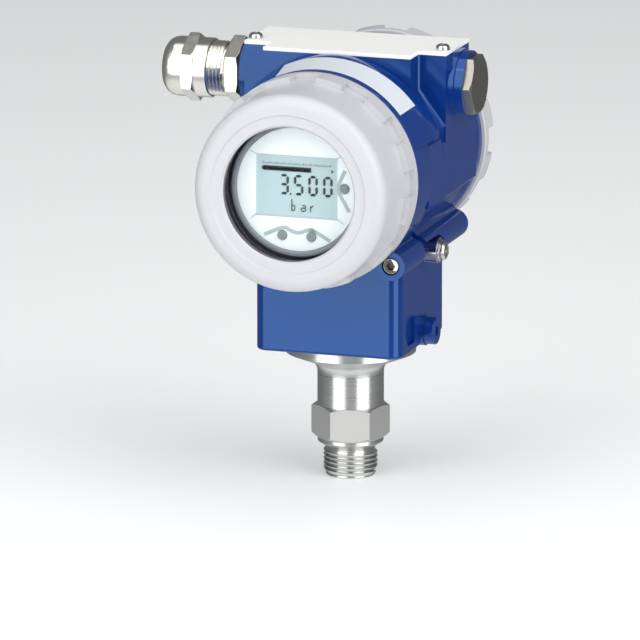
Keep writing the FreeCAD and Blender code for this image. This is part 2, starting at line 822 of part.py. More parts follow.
def cut_chambers(body):
    """Electronics chamber in front, terminal chamber behind, room for the front cover's rim."""
    turn_profile(body, [
        ("-barrel_front - overcut", "0"),
        ("-barrel_front - overcut", "thread_bore_radius"),
        ("thread_bore_depth - barrel_front", "thread_bore_radius"),
        ("thread_bore_depth - barrel_front + thread_runout", "chamber_radius"),
        ("-partition_front", "chamber_radius"),
        ("-partition_front", "0"),
    ], cut=True, role="YZ_Plane", axis="H_Axis")
    turn_profile(body, [
        ("partition_back", "0"),
        ("partition_back", "chamber_radius"),
        ("barrel_back - thread_bore_depth - thread_runout", "chamber_radius"),
        ("barrel_back - thread_bore_depth", "thread_bore_radius"),
        ("barrel_back + overcut", "thread_bore_radius"),
        ("barrel_back + overcut", "0"),
    ], cut=True, role="YZ_Plane", axis="H_Axis")
    turn_profile(body, [
        ("-barrel_front", "cover_bore_radius"),
        ("-barrel_front", "cover_clearance_radius"),
        ("-rib_reach - overcut", "cover_clearance_radius"),
        ("-rib_reach - overcut", "cover_bore_radius"),
    ], cut=True, role="YZ_Plane", axis="H_Axis")


def cut_openings(body):
    """Swivel socket, cable way, entries, bushing hole and every screw hole."""
    socket = "block_bottom - axis_height - overcut"
    round_prism(body, "socket_radius", socket, "socket_top - block_bottom + overcut",
                cut=True, backwards=True)
    round_prism(body, "cable_way_radius", "socket_top - axis_height - overcut", "cable_way_length",
                ("0", "-cable_way_front"), cut=True, backwards=True)
    entry = ("entry_setback", "entry_height - axis_height")
    for side, seat in (("1", "plug_seat"), ("-1", "gland_seat")):
        round_prism(body, "entry_bore_radius", f"{side} * {seat}", f"{seat} - entry_bore_end",
                    entry, "YZ_Plane", cut=True, backwards=side == "-1")
    round_prism(body, "bushing_radius + bushing_play", "partition_front",
                "partition_front + partition_back", ("0", "bushing_rise"), "XZ_Plane", cut=True)
    rib = rib_point("rib_distance", "0")
    head_room = "lock_head_length + lock_head_recess"
    for face, backwards in (("rib_reach", False), ("-rib_rear_end", True)):
        round_prism(body, "lock_head_radius + lock_head_play", face, head_room,
                    rib, "XZ_Plane", cut=True, backwards=backwards)
        round_prism(body, "lock_shank_radius + screw_play", face,
                    f"lock_shank_length + {head_room} + overcut",
                    rib, "XZ_Plane", cut=True, backwards=backwards)
    earth = ("-earth_front", "earth_height - axis_height")
    round_prism(body, "earth_clearance_radius", "earth_clearance_end",
                "earth_clearance_end - earth_boss_end", earth, "YZ_Plane", cut=True)
    round_prism(body, "earth_thread_radius + screw_play", "earth_boss_end", "earth_hole_depth",
                earth, "YZ_Plane", cut=True)
    round_prism(body, "neck_lock_radius + screw_play", "neck_boss_end",
                "neck_boss_end - socket_radius + 2 * overcut",
                ("0", "lock_groove_height - axis_height"), "YZ_Plane", cut=True)
    for side in ("1", "-1"):
        round_prism(body, "plate_screw_shank_radius + screw_play", "plate_bottom - axis_height",
                    "plate_screw_hole", (f"{side} * plate_screw_side", "-plate_screw_front"), cut=True)


def cut_side_recess(body):
    """Shallow D-shaped recess cast into the right side of the block."""
    centre = ("-recess_centre", "block_bottom - axis_height + recess_rise")
    sketch = new_sketch(body, "YZ_Plane", "block_half_width")
    draw_round_end(sketch, "recess_radius", centre, "recess_end - recess_centre")
    extrude(body, sketch, "recess_depth", cut=True)


def build_housing():
    """One casting: every solid form first, then the chambers, bores and recesses."""
    body = new_body("housing", UP, AXIS_PLACE)
    add_block(body)
    add_barrel(body)
    add_crown(body)
    add_fairing(body)
    add_entry_bosses(body)
    add_lock_rib(body)
    add_side_bosses(body)
    cut_chambers(body)
    cut_openings(body)
    cut_side_recess(body)


def build_top_plate():
    """Plate that follows the outline of crown and tabs, with two screw holes."""
    body = new_body("top_plate", UP, ("0", "0", "plate_bottom"))
    outline = [
        ("-tab_half_width", "-tab_front"),
        ("-crown_half_width", "-tab_front"),
        ("-crown_half_width", "-crown_front"),
        ("crown_half_width", "-crown_front"),
        ("crown_half_width", "-tab_front"),
        ("tab_half_width", "-tab_front"),
        ("tab_half_width", "tab_back"),
        ("-tab_half_width", "tab_back"),
    ]
    prism(body, outline, "0", "plate_top - plate_bottom")
    for side in ("1", "-1"):
        round_prism(body, "plate_screw_shank_radius + plate_hole_play", "plate_top - plate_bottom",
                    "plate_top - plate_bottom",
                    (f"{side} * plate_screw_side", "-plate_screw_front"), cut=True)
    for name, side in (("left", "-1"), ("right", "1")):
        pan_head_screw(f"plate_screw_{name}", UP,
                       (f"{side} * plate_screw_side", "-plate_screw_front", "plate_top"),
                       "plate_screw_head_radius", "plate_screw_head_height",
                       "plate_screw_shank_radius", "plate_screw_length", cross=True)


def build_lock_screws():
    """Two cover lock screws in the rib and the lock screw of the neck."""
    x, z = rib_point("rib_distance", "0")
    sunk = "lock_head_length + lock_head_recess"
    for name, facing, under_head in (("front", FRONT, f"{sunk} - rib_reach"),
                                     ("rear", REAR, f"rib_rear_end - ({sunk})")):
        socket_head_screw(f"{name}_lock_screw", facing, (x, under_head, f"axis_height + {z}"),
                          "lock_head_radius", "lock_head_length",
                          "lock_shank_radius", "lock_shank_length", "lock_drive")
    socket_head_screw("neck_lock_screw", RIGHT, ("neck_boss_end", "0", "lock_groove_height"),
                      "neck_head_radius", "neck_head_end - neck_boss_end",
                      "neck_lock_radius", "neck_boss_end - neck_lock_tip", "neck_drive")


def build_earth_terminal():
    """Clamp with a wire slot in its side, washer and cross-slotted screw."""
    place = ("0", "-earth_front", "earth_height")
    clamp = new_body("earth_clamp", RIGHT, place)
    hole = "earth_thread_radius + earth_hole_play"
    turn_profile(clamp, rectangle(hole, "earth_clamp_radius", "earth_boss_end", "earth_clamp_end"))
    slot = rectangle("-wire_slot_half_width", "wire_slot_half_width",
                     "wire_slot_floor", "earth_clamp_radius + overcut")
    prism(clamp, slot, "earth_boss_end + wire_slot_height", "wire_slot_opening", cut=True)
    flat_ring("earth_washer", RIGHT, place, hole, "earth_washer_radius",
              "earth_clamp_end", "earth_washer_end")
    pan_head_screw("earth_screw", RIGHT, ("earth_washer_end", "-earth_front", "earth_height"),
                   "earth_head_radius", "earth_head_end - earth_washer_end", "earth_thread_radius",
                   "earth_washer_end - earth_boss_end + earth_shank_reach", cross=True)


def build_blind_plug():
    """Hexagon plug and its seal in the right entry."""
    place = ("0", "entry_setback", "entry_height")
    body = new_body("blind_plug", RIGHT, place)
    prism(body, hexagon("plug_wrench_size"), "plug_seat", "plug_end - plug_seat")
    corner = "plug_wrench_size / 2 / cos(30)"
    turn_profile(body, [
        ("plug_wrench_size / 2 + plug_face_edge", "plug_end"),
        (f"{corner} + overcut", "plug_end"),
        (f"{corner} + overcut", "plug_end - plug_chamfer"),
    ], cut=True)
    turn_profile(body, [
        ("0", "plug_seat - entry_thread_length"),
        ("entry_thread_radius - entry_thread_chamfer", "plug_seat - entry_thread_length"),
        ("entry_thread_radius", "plug_seat - entry_thread_length + entry_thread_chamfer"),
        ("entry_thread_radius", "plug_seat - plug_groove_start"),
        ("entry_thread_radius - plug_groove_depth", "plug_seat - plug_groove_floor"),
        ("entry_thread_radius - plug_groove_depth", "plug_seat + core_overlap"),
        ("0", "plug_seat + core_overlap"),
    ])
    seal_ring("plug_seal", RIGHT, ("plug_seat - plug_seal_inset", "entry_setback", "entry_height"),
              "entry_thread_radius - plug_groove_depth / 2", "plug_seal_cord")


# ---------------------------------------------------------------------------
# Electronics and terminals
# ---------------------------------------------------------------------------
def build_electronics():
    """Potted module against the partition, main board, sealed bushing."""
    module = new_body("electronics_module", FRONT, AXIS_PLACE)
    turn_profile(module, [
        ("0", "partition_front"),
        ("module_radius - module_edge", "partition_front"),
        ("module_radius", "partition_front + module_edge"),
        ("module_radius", "module_step_start"),
        ("module_radius - module_step", "module_step_end"),
        ("module_radius - module_step", "module_front"),
        ("0", "module_front"),
    ])
    board = new_body("main_board", FRONT, AXIS_PLACE)
    round_prism(board, "main_board_radius", "module_front", "main_board_front - module_front")
    bushing = new_body("feedthrough", REAR, ("0", "0", "axis_height + bushing_rise"))
    turn_profile(bushing, [
        ("0", "-partition_front"),
        ("bushing_radius", "-partition_front"),
        ("bushing_radius", "partition_back"),
        ("bushing_radius + bushing_collar", "partition_back"),
        ("bushing_radius + bushing_collar", "partition_back + bushing_collar"),
        ("bushing_pin_radius", "partition_back + bushing_collar"),
        ("bushing_pin_radius", "partition_back + bushing_pin_reach"),
        ("0", "partition_back + bushing_pin_reach"),
    ])


def build_terminals():
    """Terminal block with four wire funnels and a screw above each."""
    block = new_body("terminal_block", REAR, AXIS_PLACE)
    outline = [
        ("-terminal_half_width", "terminal_edge - terminal_bottom"),
        ("terminal_edge - terminal_half_width", "-terminal_bottom"),
        ("terminal_half_width - terminal_edge", "-terminal_bottom"),
        ("terminal_half_width", "terminal_edge - terminal_bottom"),
        ("terminal_half_width", "terminal_top"),
        ("-terminal_half_width", "terminal_top"),
    ]
    prism(block, outline, "partition_back", "terminal_back - partition_back")
    for index in range(4):
        across = f"({index} - 1.5) * terminal_pitch"
        place = (across, "terminal_screw_rise")
        round_prism(block, "terminal_screw_radius + terminal_screw_play", "terminal_back",
                    "terminal_screw_sink", place, cut=True)
        round_prism(block, "terminal_shank_radius + screw_play", "terminal_back",
                    "terminal_hole_depth", place, cut=True)
        funnel = rectangle(f"{across} - funnel_half_width", f"{across} + funnel_half_width",
                           "-funnel_bottom", "-funnel_top")
        prism(block, funnel, "terminal_back", "funnel_depth", cut=True)
        pan_head_screw(f"terminal_screw_{index + 1}", REAR,
                       (f"-({across})", "terminal_back - terminal_screw_sink",
                        "axis_height + terminal_screw_rise"),
                       "terminal_screw_radius", "terminal_screw_height", "terminal_shank_radius",
                       "terminal_shank_length", cross=False)


# ---------------------------------------------------------------------------
# Display
# ---------------------------------------------------------------------------
KEYS = {
    "left": ("-key_spacing", "-key_drop"),
    "right": ("key_spacing", "-key_drop"),
    "side": ("side_key_offset", "side_key_rise"),
}


def build_display():
    """Round display unit: cup, board, panel, faceplate and three keys."""
    cup = new_body("display_housing", FRONT, AXIS_PLACE)
    turn_profile(cup, [
        ("0", "main_board_front + display_hub_gap"),
        ("display_hub_radius", "main_board_front + display_hub_gap"),
        ("display_hub_radius", "display_back"),
        ("display_radius - display_edge", "display_back"),
        ("display_radius", "display_back + display_edge"),
        ("display_radius", "display_front - display_rim_edge"),
        ("display_radius - display_rim_edge", "display_front"),
        ("bezel_radius + bezel_bevel", "display_front"),
        ("bezel_radius", "faceplate_front"),
        ("bezel_radius", "faceplate_back"),
        ("display_cavity_radius", "faceplate_back"),
        ("display_cavity_radius", "board_back"),
        ("display_cavity_radius - board_ledge", "board_back"),
        ("display_cavity_radius - board_ledge", "display_back + display_floor"),
        ("0", "display_back + display_floor"),
    ])
    board = new_body("display_board", FRONT, AXIS_PLACE)
    round_prism(board, "display_cavity_radius - board_play", "board_back", "board_front - board_back")
    low = "lcd_rise - lcd_height / 2"
    high = "lcd_rise + lcd_height / 2"
    panel = new_body("lcd_panel", FRONT, AXIS_PLACE)
    prism(panel, rectangle("-lcd_width / 2", "lcd_width / 2", low, high),
          "board_front", "lcd_front - board_front")
    plate = new_body("display_faceplate", FRONT, AXIS_PLACE)
    round_prism(plate, "faceplate_radius", "faceplate_back", "faceplate_front - faceplate_back")
    window = rectangle("-lcd_width / 2 - lcd_play", "lcd_width / 2 + lcd_play",
                       f"{low} - lcd_play", f"{high} + lcd_play")
    prism(plate, window, "faceplate_front", "faceplate_front - faceplate_back", cut=True)
    for name, place in KEYS.items():
        round_prism(plate, "key_radius + key_play", "faceplate_front",
                    "faceplate_front - faceplate_back", place, cut=True)
        across, rise = place
        key = new_body(f"button_{name}", FRONT, (across, "0", f"axis_height + {rise}"))
        turn_profile(key, [
            ("0", "key_back"),
            ("key_radius", "key_back"),
            ("key_radius", "key_front - key_edge"),
            ("key_radius - key_edge", "key_front"),
            ("0", "key_front"),
        ])


# ---------------------------------------------------------------------------
# Covers
# ---------------------------------------------------------------------------
def cut_rim_teeth(body, back_of_rim):
    """Cut the gaps between the rim teeth, each as wide as a tooth, with flanks that point at the axis."""
    inner = "cover_root_radius / cos(tooth_angle / 2)"
    outer = "(rim_radius + overcut)"
    start = "(tooth_phase + tooth_angle / 2)"
    end = "(tooth_phase + tooth_angle * 1.5)"
    corners = [(f"{reach} * sin{angle}", f"{reach} * cos{angle}") for reach, angle in
               ((inner, start), (inner, end), (outer, end), (outer, start))]
    front = f"{back_of_rim} + rim_ring_width + rim_teeth_width"
    gap = prism(body, corners, front, "rim_teeth_width", cut=True)
    pattern_round(body, gap, round(180 / SIZES["tooth_angle"]))


def cover_outside(back_of_rim, face):
    """Outer half of a cover's section, from its rim to the edge of its flat face."""
    teeth = f"{back_of_rim} + rim_ring_width + rim_teeth_width"
    rounding = [(f"cover_face_radius - face_rounding * (1 - cos({angle}))",
                 f"{face} - face_rounding * (1 - sin({angle}))") for angle in (0, 22.5, 45, 67.5, 90)]
    return [
        ("rim_radius - rim_chamfer", back_of_rim),
        ("rim_radius", f"{back_of_rim} + rim_chamfer"),
        ("rim_radius", teeth),
        ("cover_root_radius", teeth),
        *rounding,
    ]


def cover_thread(back_of_rim, end):
    """Spigot of a cover with the groove of its seal, from the bore's mouth to the rim."""
    groove_floor = "seal_radius - seal_cord - seal_bed"
    groove_start = f"{back_of_rim} - rim_gap - seal_inset - seal_cord - seal_play"
    groove_end = f"{back_of_rim} - rim_gap - seal_inset + seal_cord + seal_play"
    return [
        ("cover_bore_radius", end),
        ("cover_thread_radius - cover_thread_chamfer", end),
        ("cover_thread_radius", f"{end} + cover_thread_chamfer"),
        ("cover_thread_radius", groove_start),
        (groove_floor, groove_start),
        (groove_floor, groove_end),
        ("cover_thread_radius", groove_end),
        ("cover_thread_radius", back_of_rim),
    ]


def build_front_cover():
    """Window cover with its glass, gasket and threaded ring."""
    body = new_body("front_cover", FRONT, AXIS_PLACE)
    rim = "barrel_front + rim_gap"
    outline = cover_thread(rim, "cover_thread_end") + cover_outside(rim, "cover_face") + [
        ("face_step_radius + face_step_slope", "cover_face"),
        ("face_step_radius", "cover_face - face_step"),
        ("window_radius + window_bevel", "cover_face - face_step"),
        ("window_radius", "cover_face - face_step - window_bevel"),
        ("window_radius", "cover_face - window_lip"),
        ("glass_radius + glass_play", "cover_face - window_lip"),
        ("glass_radius + glass_play", "glass_back"),
        ("cover_bore_radius", "glass_back"),
    ]
    turn_profile(body, outline)
    cut_rim_teeth(body, rim)
    flat_ring("glass_gasket", FRONT, AXIS_PLACE, "window_radius + gasket_inset", "glass_radius",
              "glass_front", "cover_face - window_lip")
    glass = new_body("window_glass", FRONT, AXIS_PLACE)
    round_prism(glass, "glass_radius", "glass_back", "glass_front - glass_back")
    flat_ring("glass_retaining_ring", FRONT, AXIS_PLACE, "glass_ring_radius",
              "cover_bore_radius - glass_ring_play", "glass_ring_back", "glass_back")
    seal_ring("front_cover_oring", FRONT, ("0", "seal_inset - barrel_front", "axis_height"),
              "seal_radius", "seal_cord")


def build_rear_cover():
    """Blind cover of the terminal chamber."""
    body = new_body("rear_cover", REAR, AXIS_PLACE)
    rim = "barrel_back + rim_gap"
    end = "barrel_back + rim_gap - rear_thread_length"
    outline = cover_thread(rim, end) + cover_outside(rim, "rear_face") + [
        ("rear_dish_radius + rear_dish_depth", "rear_face"),
        ("rear_dish_radius", "rear_face - rear_dish_depth"),
        ("0", "rear_face - rear_dish_depth"),
        ("0", "rear_face - rear_wall"),
        ("cover_bore_radius - rear_inner_bevel", "rear_face - rear_wall"),
        ("cover_bore_radius", "rear_face - rear_wall - rear_inner_bevel"),
    ]
    turn_profile(body, outline)
    cut_rim_teeth(body, rim)
    seal_ring("rear_cover_oring", REAR, ("0", "barrel_back - seal_inset", "axis_height"),
              "seal_radius", "seal_cord")


# ---------------------------------------------------------------------------
# Cable gland
# ---------------------------------------------------------------------------
def build_gland():
    """Cable gland in the left entry: body, seal under it, insert, rubber seal and dome nut."""
    place = ("0", "entry_setback", "entry_height")
    corner = "gland_wrench_size / 2 / cos(30)"
    body = new_body("gland_body", LEFT, place)
    prism(body, hexagon("gland_wrench_size", 30), "gland_hexagon_start",
          "gland_hexagon_end - gland_hexagon_start")
    for near, far in (("gland_hexagon_start", "gland_hexagon_start + gland_chamfer"),
                      ("gland_hexagon_end", "gland_hexagon_end - gland_chamfer")):
        turn_profile(body, [
            (f"{corner} - gland_chamfer_depth", near),
            (f"{corner} + overcut", near),
            (f"{corner} + overcut", far),
        ], cut=True)
    turn_profile(body, [
        ("0", "gland_seat - entry_thread_length"),
        ("entry_thread_radius - entry_thread_chamfer", "gland_seat - entry_thread_length"),
        ("entry_thread_radius", "gland_seat - entry_thread_length + entry_thread_chamfer"),
        ("entry_thread_radius", "gland_hexagon_start + core_overlap"),
        ("gland_thread_radius - gland_thread_chamfer", "gland_hexagon_start + core_overlap"),
        ("gland_thread_radius - gland_thread_chamfer", "gland_relief_end"),
        ("gland_thread_radius", "gland_thread_start"),
        ("gland_thread_radius", "gland_body_end - gland_thread_chamfer"),
        ("gland_thread_radius - gland_thread_chamfer", "gland_body_end"),
        ("0", "gland_body_end"),
    ])
    turn_profile(body, [
        ("0", "gland_seat - entry_thread_length - overcut"),
        ("gland_through_radius", "gland_seat - entry_thread_length - overcut"),
        ("gland_through_radius", "gland_bore_end"),
        ("gland_bore_radius", "gland_bore_end"),
        ("gland_bore_radius", "gland_body_end + overcut"),
        ("0", "gland_body_end + overcut"),
    ], cut=True)
    flat_ring("gland_oring", LEFT, place, "entry_thread_radius + gland_seal_play", "gland_oring_radius",
              "gland_seat", "gland_hexagon_start")
    insert = new_body("gland_insert", LEFT, place)
    turn_profile(insert, [
        ("gland_seal_radius + gland_insert_play", "gland_insert_start"),
        ("gland_insert_radius", "gland_insert_start"),
        ("gland_insert_radius", "gland_insert_end - gland_insert_slope"),
        ("gland_insert_radius - gland_insert_chamfer", "gland_insert_end"),
        ("gland_seal_radius + gland_insert_play", "gland_insert_end"),
    ])
    flat_ring("gland_seal", LEFT, place, "cable_radius", "gland_seal_radius",
              "gland_insert_start + gland_seal_inset", "gland_insert_end - gland_seal_inset")
    build_dome_nut(place, corner)


def build_dome_nut(place, corner):
    """Dome nut: hexagon band, turned skirt and dome, then its bore with the pressing cone."""
    nut = new_body("gland_dome_nut", LEFT, place)
    prism(nut, hexagon("gland_wrench_size", 30), "gland_nut_hexagon_start",
          "gland_nut_hexagon_end - gland_nut_hexagon_start")
    for near, far in (("gland_nut_hexagon_start", "gland_nut_hexagon_start + gland_chamfer"),
                      ("gland_nut_hexagon_end", "gland_nut_hexagon_end - gland_chamfer")):
        turn_profile(nut, [
            (f"{corner} - gland_chamfer_depth", near),
            (f"{corner} + overcut", near),
            (f"{corner} + overcut", far),
        ], cut=True)
    dome = [(f"gland_nut_radius - gland_dome_width * (1 - cos({angle}))",
             f"gland_nut_end - gland_dome_length * (1 - sin({angle}))") for angle in (0, 25, 45, 66, 90)]
    turn_profile(nut, [
        ("0", "gland_nut_start"),
        ("gland_nut_radius - gland_nut_chamfer", "gland_nut_start"),
        ("gland_nut_radius", "gland_nut_start + gland_nut_chamfer"),
        *dome,
        ("0", "gland_nut_end"),
    ])
    turn_profile(nut, [
        ("0", "gland_nut_start - overcut"),
        ("gland_nut_bore_radius", "gland_nut_start - overcut"),
        ("gland_nut_bore_radius", "gland_cone_start"),
        ("gland_cone_radius", "gland_cone_middle"),
        ("gland_mouth_radius", "gland_cone_end"),
        ("gland_mouth_radius", "gland_nut_end - gland_mouth_chamfer"),
        ("gland_mouth_radius + gland_mouth_chamfer + overcut", "gland_nut_end + overcut"),
        ("0", "gland_nut_end + overcut"),
    ], cut=True)


# ---------------------------------------------------------------------------
# Build, verify and export
# ---------------------------------------------------------------------------
def build_all():
    """Make every piece of the transmitter."""
    fill_sheet()
    build_process_connection()
    build_sensor_capsule()
    seal_ring("neck_oring", UP, ("0", "0", "neck_seal_height"), "neck_seal_radius", "neck_seal_cord")
    build_housing()
    build_top_plate()
    build_lock_screws()
    build_earth_terminal()
    build_blind_plug()
    build_electronics()
    build_terminals()
    build_display()
    build_front_cover()
    build_rear_cover()
    build_gland()
    doc.recompute()


def verify():
    """Stop if any object failed or any piece has no valid solid."""
    for item in doc.Objects:
        if "Invalid" in item.State or "Error" in item.State:
            raise RuntimeError(f"{item.Label} failed: {item.State}")
    for label, piece in pieces.items():
        shape = piece.Shape
        if shape.isNull() or not shape.isValid() or len(shape.Solids) != 1:
            raise RuntimeError(f"{label} has no single valid solid")


def export():
    """Write one STEP file for each piece."""
    os.makedirs("parts", exist_ok=True)
    for label, piece in pieces.items():
        piece.Shape.exportStep(f"parts/{label}.step")
    print(len(pieces), "pieces written")


build_all()
verify()
export()
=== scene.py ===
"""Two-chamber process pressure transmitter: finishes, fine geometry, lights and camera.

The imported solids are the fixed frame. Each class below dresses one sub-assembly of the
instrument: it makes rounded copies of its machined or cast pieces, adds the threads,
printed and moulded detail that belong to it, and gives every piece its finish.
Lengths are in millimetres until a mesh is made, and metres from there on.
"""

import json
import logging
import math
from dataclasses import dataclass, field
from enum import Enum
from typing import Callable, Dict, List, Optional, Sequence, Tuple

import bmesh
import bpy
from mathutils import Matrix, Vector

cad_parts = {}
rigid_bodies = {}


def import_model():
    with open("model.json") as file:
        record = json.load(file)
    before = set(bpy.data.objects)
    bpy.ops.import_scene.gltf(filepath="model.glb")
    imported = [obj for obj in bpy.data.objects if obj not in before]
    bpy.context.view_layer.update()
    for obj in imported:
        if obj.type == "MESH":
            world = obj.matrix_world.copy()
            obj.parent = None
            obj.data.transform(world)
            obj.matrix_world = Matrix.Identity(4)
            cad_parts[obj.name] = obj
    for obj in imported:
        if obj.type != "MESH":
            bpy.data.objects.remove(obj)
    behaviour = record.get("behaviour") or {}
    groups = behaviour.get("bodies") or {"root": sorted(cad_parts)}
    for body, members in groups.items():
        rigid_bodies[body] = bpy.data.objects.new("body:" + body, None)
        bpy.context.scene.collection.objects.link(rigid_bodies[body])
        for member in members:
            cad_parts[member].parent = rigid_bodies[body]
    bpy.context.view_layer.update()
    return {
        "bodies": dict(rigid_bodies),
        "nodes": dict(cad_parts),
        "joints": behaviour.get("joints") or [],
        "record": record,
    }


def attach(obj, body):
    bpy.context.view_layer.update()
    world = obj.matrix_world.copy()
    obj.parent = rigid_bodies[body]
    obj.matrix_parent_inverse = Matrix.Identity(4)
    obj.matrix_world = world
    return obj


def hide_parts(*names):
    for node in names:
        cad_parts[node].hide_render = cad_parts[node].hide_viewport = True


LOG = logging.getLogger("transmitter")
MM = 0.001
# Corners closer than this, in metres, are one corner.
MERGE = 2e-6
# A corner this close to a nominal size, in millimetres, lies on that surface.
ON_SURFACE = 0.05
Colour = Tuple[float, float, float, float]
Point = Tuple[float, float, float]


# ---------------------------------------------------------------------------
# Small tools
# ---------------------------------------------------------------------------
def linear(code: str) -> Colour:
    """Turn an sRGB hex code into linear colour.

    Args:
        code: six hex digits, with or without a leading hash.

    Returns:
        Red, green, blue and an alpha of one.
    """
    code = code.lstrip("#")
    parts = [int(code[i:i + 2], 16) / 255 for i in (0, 2, 4)]
    parts = [p / 12.92 if p <= 0.04045 else ((p + 0.055) / 1.055) ** 2.4 for p in parts]
    return (parts[0], parts[1], parts[2], 1.0)


def add_node(tree: bpy.types.NodeTree, kind: str, settings: Optional[dict] = None,
             links: Optional[dict] = None) -> bpy.types.Node:
    """Add a node with its settings and its inputs.

    Args:
        tree: the node tree that takes the node.
        kind: the node's type name.
        settings: properties of the node, by name.
        links: inputs by name or index, each a value or another node's output socket.

    Returns:
        The new node.
    """
    node = tree.nodes.new(kind)
    for name, value in (settings or {}).items():
        setattr(node, name, value)
    for name, value in (links or {}).items():
        socket = node.inputs[name]
        if isinstance(value, bpy.types.NodeSocket):
            tree.links.new(value, socket)
        else:
            socket.default_value = value
    return node


class Facing(Enum):
    """The way a turned piece points, as the row's axis that its own Z axis lies along."""

    UP = "up"
    FRONT = "front"
    REAR = "rear"
    LEFT = "left"
    RIGHT = "right"

    def matrix(self) -> Matrix:
        """Return the rotation from the piece's own frame to the row's."""
        turns = {
            Facing.UP: Matrix.Identity(4),
            Facing.FRONT: Matrix.Rotation(math.pi / 2, 4, "X"),
            Facing.REAR: Matrix.Rotation(math.pi, 4, "Z") @ Matrix.Rotation(math.pi / 2, 4, "X"),
            Facing.RIGHT: Matrix.Rotation(math.pi / 2, 4, "Z") @ Matrix.Rotation(math.pi / 2, 4, "X"),
            Facing.LEFT: Matrix.Rotation(-math.pi / 2, 4, "Z") @ Matrix.Rotation(math.pi / 2, 4, "X"),
        }
        return turns[self]


# ---------------------------------------------------------------------------
# Finishes
# ---------------------------------------------------------------------------
@dataclass(frozen=True)
class Finish:
    """A material with a base colour, a slow tone drift and a fine surface grain.

    grain_mm is the size of the surface's texture and grain_height_mm its height; sheen tints the
    reflection, as the pigment does under a thin clear film.
    """

    name: str
    colour: str
    drift: str
    roughness: float = 0.4
    metallic: float = 0.0
    ior: float = 1.5
    coat: float = 0.0
    coat_roughness: float = 0.1
    specular: float = 0.5
    sheen: str = "#ffffff"
    # glow is emission in the finish's own colour: a painted glow on every part but the lit floor board.
    glow: float = 0.0
    drift_mm: float = 25.0
    grain_mm: float = 0.5
    grain_height_mm: float = 0.01
    roughness_spread: float = 0.06

    def coordinates(self, tree: bpy.types.NodeTree) -> bpy.types.NodeSocket:
        """Return the coordinates that the grain is drawn in, in metres."""
        return add_node(tree, "ShaderNodeTexCoord").outputs["Object"]

    def grain(self, tree: bpy.types.NodeTree, where: bpy.types.NodeSocket) -> bpy.types.NodeSocket:
        """Return the height field of the surface's own texture."""
        noise = add_node(tree, "ShaderNodeTexNoise", None, {
            "Vector": where, "Scale": 1 / (self.grain_mm * MM), "Detail": 3.0, "Roughness": 0.5})
        return noise.outputs["Fac"]

    def build(self) -> bpy.types.Material:
        """Make the material, once.

        Returns:
            The material with this finish's name.
        """
        done = bpy.data.materials.get(self.name)
        if done is not None:
            return done
        material = bpy.data.materials.new(self.name)
        material.use_nodes = True
        material.diffuse_color = linear(self.colour)
        tree = material.node_tree
        tree.nodes.clear()
        where = self.coordinates(tree)
        slow = add_node(tree, "ShaderNodeTexNoise", None, {
            "Vector": where, "Scale": 1 / (self.drift_mm * MM), "Detail": 2.0, "Roughness": 0.5})
        tone = add_node(tree, "ShaderNodeMix", {"data_type": "RGBA"}, {
            0: slow.outputs["Fac"], 6: linear(self.colour), 7: linear(self.drift)})
        height = self.grain(tree, where)
        rough = add_node(tree, "ShaderNodeMapRange", None, {
            "Value": height, "From Min": 0.3, "From Max": 0.7,
            "To Min": max(self.roughness - self.roughness_spread, 0.0),
            "To Max": min(self.roughness + self.roughness_spread, 1.0)})
        bump = add_node(tree, "ShaderNodeBump", None, {
            "Height": height, "Strength": 1.0, "Distance": self.grain_height_mm * MM})
        surface = add_node(tree, "ShaderNodeBsdfPrincipled", None, {
            "Base Color": tone.outputs[2], "Roughness": rough.outputs["Result"],
            "Normal": bump.outputs["Normal"], "Metallic": self.metallic, "IOR": self.ior,
            "Coat Weight": self.coat, "Coat Roughness": self.coat_roughness,
            "Specular IOR Level": self.specular, "Specular Tint": linear(self.sheen),
            "Emission Color": linear(self.colour),
            "Emission Strength": self.glow})
        self.finish_surface(tree, surface)
        add_node(tree, "ShaderNodeOutputMaterial", None, {"Surface": surface.outputs["BSDF"]})
        return material

    def finish_surface(self, tree: bpy.types.NodeTree, surface: bpy.types.Node) -> None:
        """Hook for finishes that need more than the common inputs."""


@dataclass(frozen=True)
class TurnedMetal(Finish):
    """Metal from the lathe: fine tool marks run round the piece's axis."""

    facing: Facing = Facing.UP
    mark_mm: float = 0.25
    stretch: float = 0.75

    def grain(self, tree: bpy.types.NodeTree, where: bpy.types.NodeSocket) -> bpy.types.NodeSocket:
        """Return noise that only changes along the axis, with a little long-wave wander."""
        along = 1 / (self.mark_mm * MM)
        across = 1 / (30 * MM)
        scale = {Facing.UP: (across, across, along), Facing.FRONT: (across, along, across),
                 Facing.REAR: (across, along, across), Facing.LEFT: (along, across, across),
                 Facing.RIGHT: (along, across, across)}[self.facing]
        stretch = add_node(tree, "ShaderNodeMapping", None, {"Vector": where, "Scale": scale})
        noise = add_node(tree, "ShaderNodeTexNoise", None, {
            "Vector": stretch.outputs["Vector"], "Scale": 1.0, "Detail": 2.0, "Roughness": 0.6})
        return noise.outputs["Fac"]

    def finish_surface(self, tree: bpy.types.NodeTree, surface: bpy.types.Node) -> None:
        """Draw highlights out along the axis, across the tool marks."""
        axis = {Facing.UP: "Z", Facing.FRONT: "Y", Facing.REAR: "Y", Facing.LEFT: "X", Facing.RIGHT: "X"}
        around = add_node(tree, "ShaderNodeTangent", {
            "direction_type": "RADIAL", "axis": axis[self.facing]})
        tree.links.new(around.outputs["Tangent"], surface.inputs["Tangent"])
        surface.inputs["Anisotropic"].default_value = self.stretch
        surface.inputs["Anisotropic Rotation"].default_value = 0.25


@dataclass(frozen=True)
class ClearGlass(Finish):
    """Float glass: mostly straight through, with its own reflection and refraction."""

    def finish_surface(self, tree: bpy.types.NodeTree, surface: bpy.types.Node) -> None:
        """Let light pass."""
        surface.inputs["Transmission Weight"].default_value = 1.0
        surface.inputs["Alpha"].default_value = 0.08


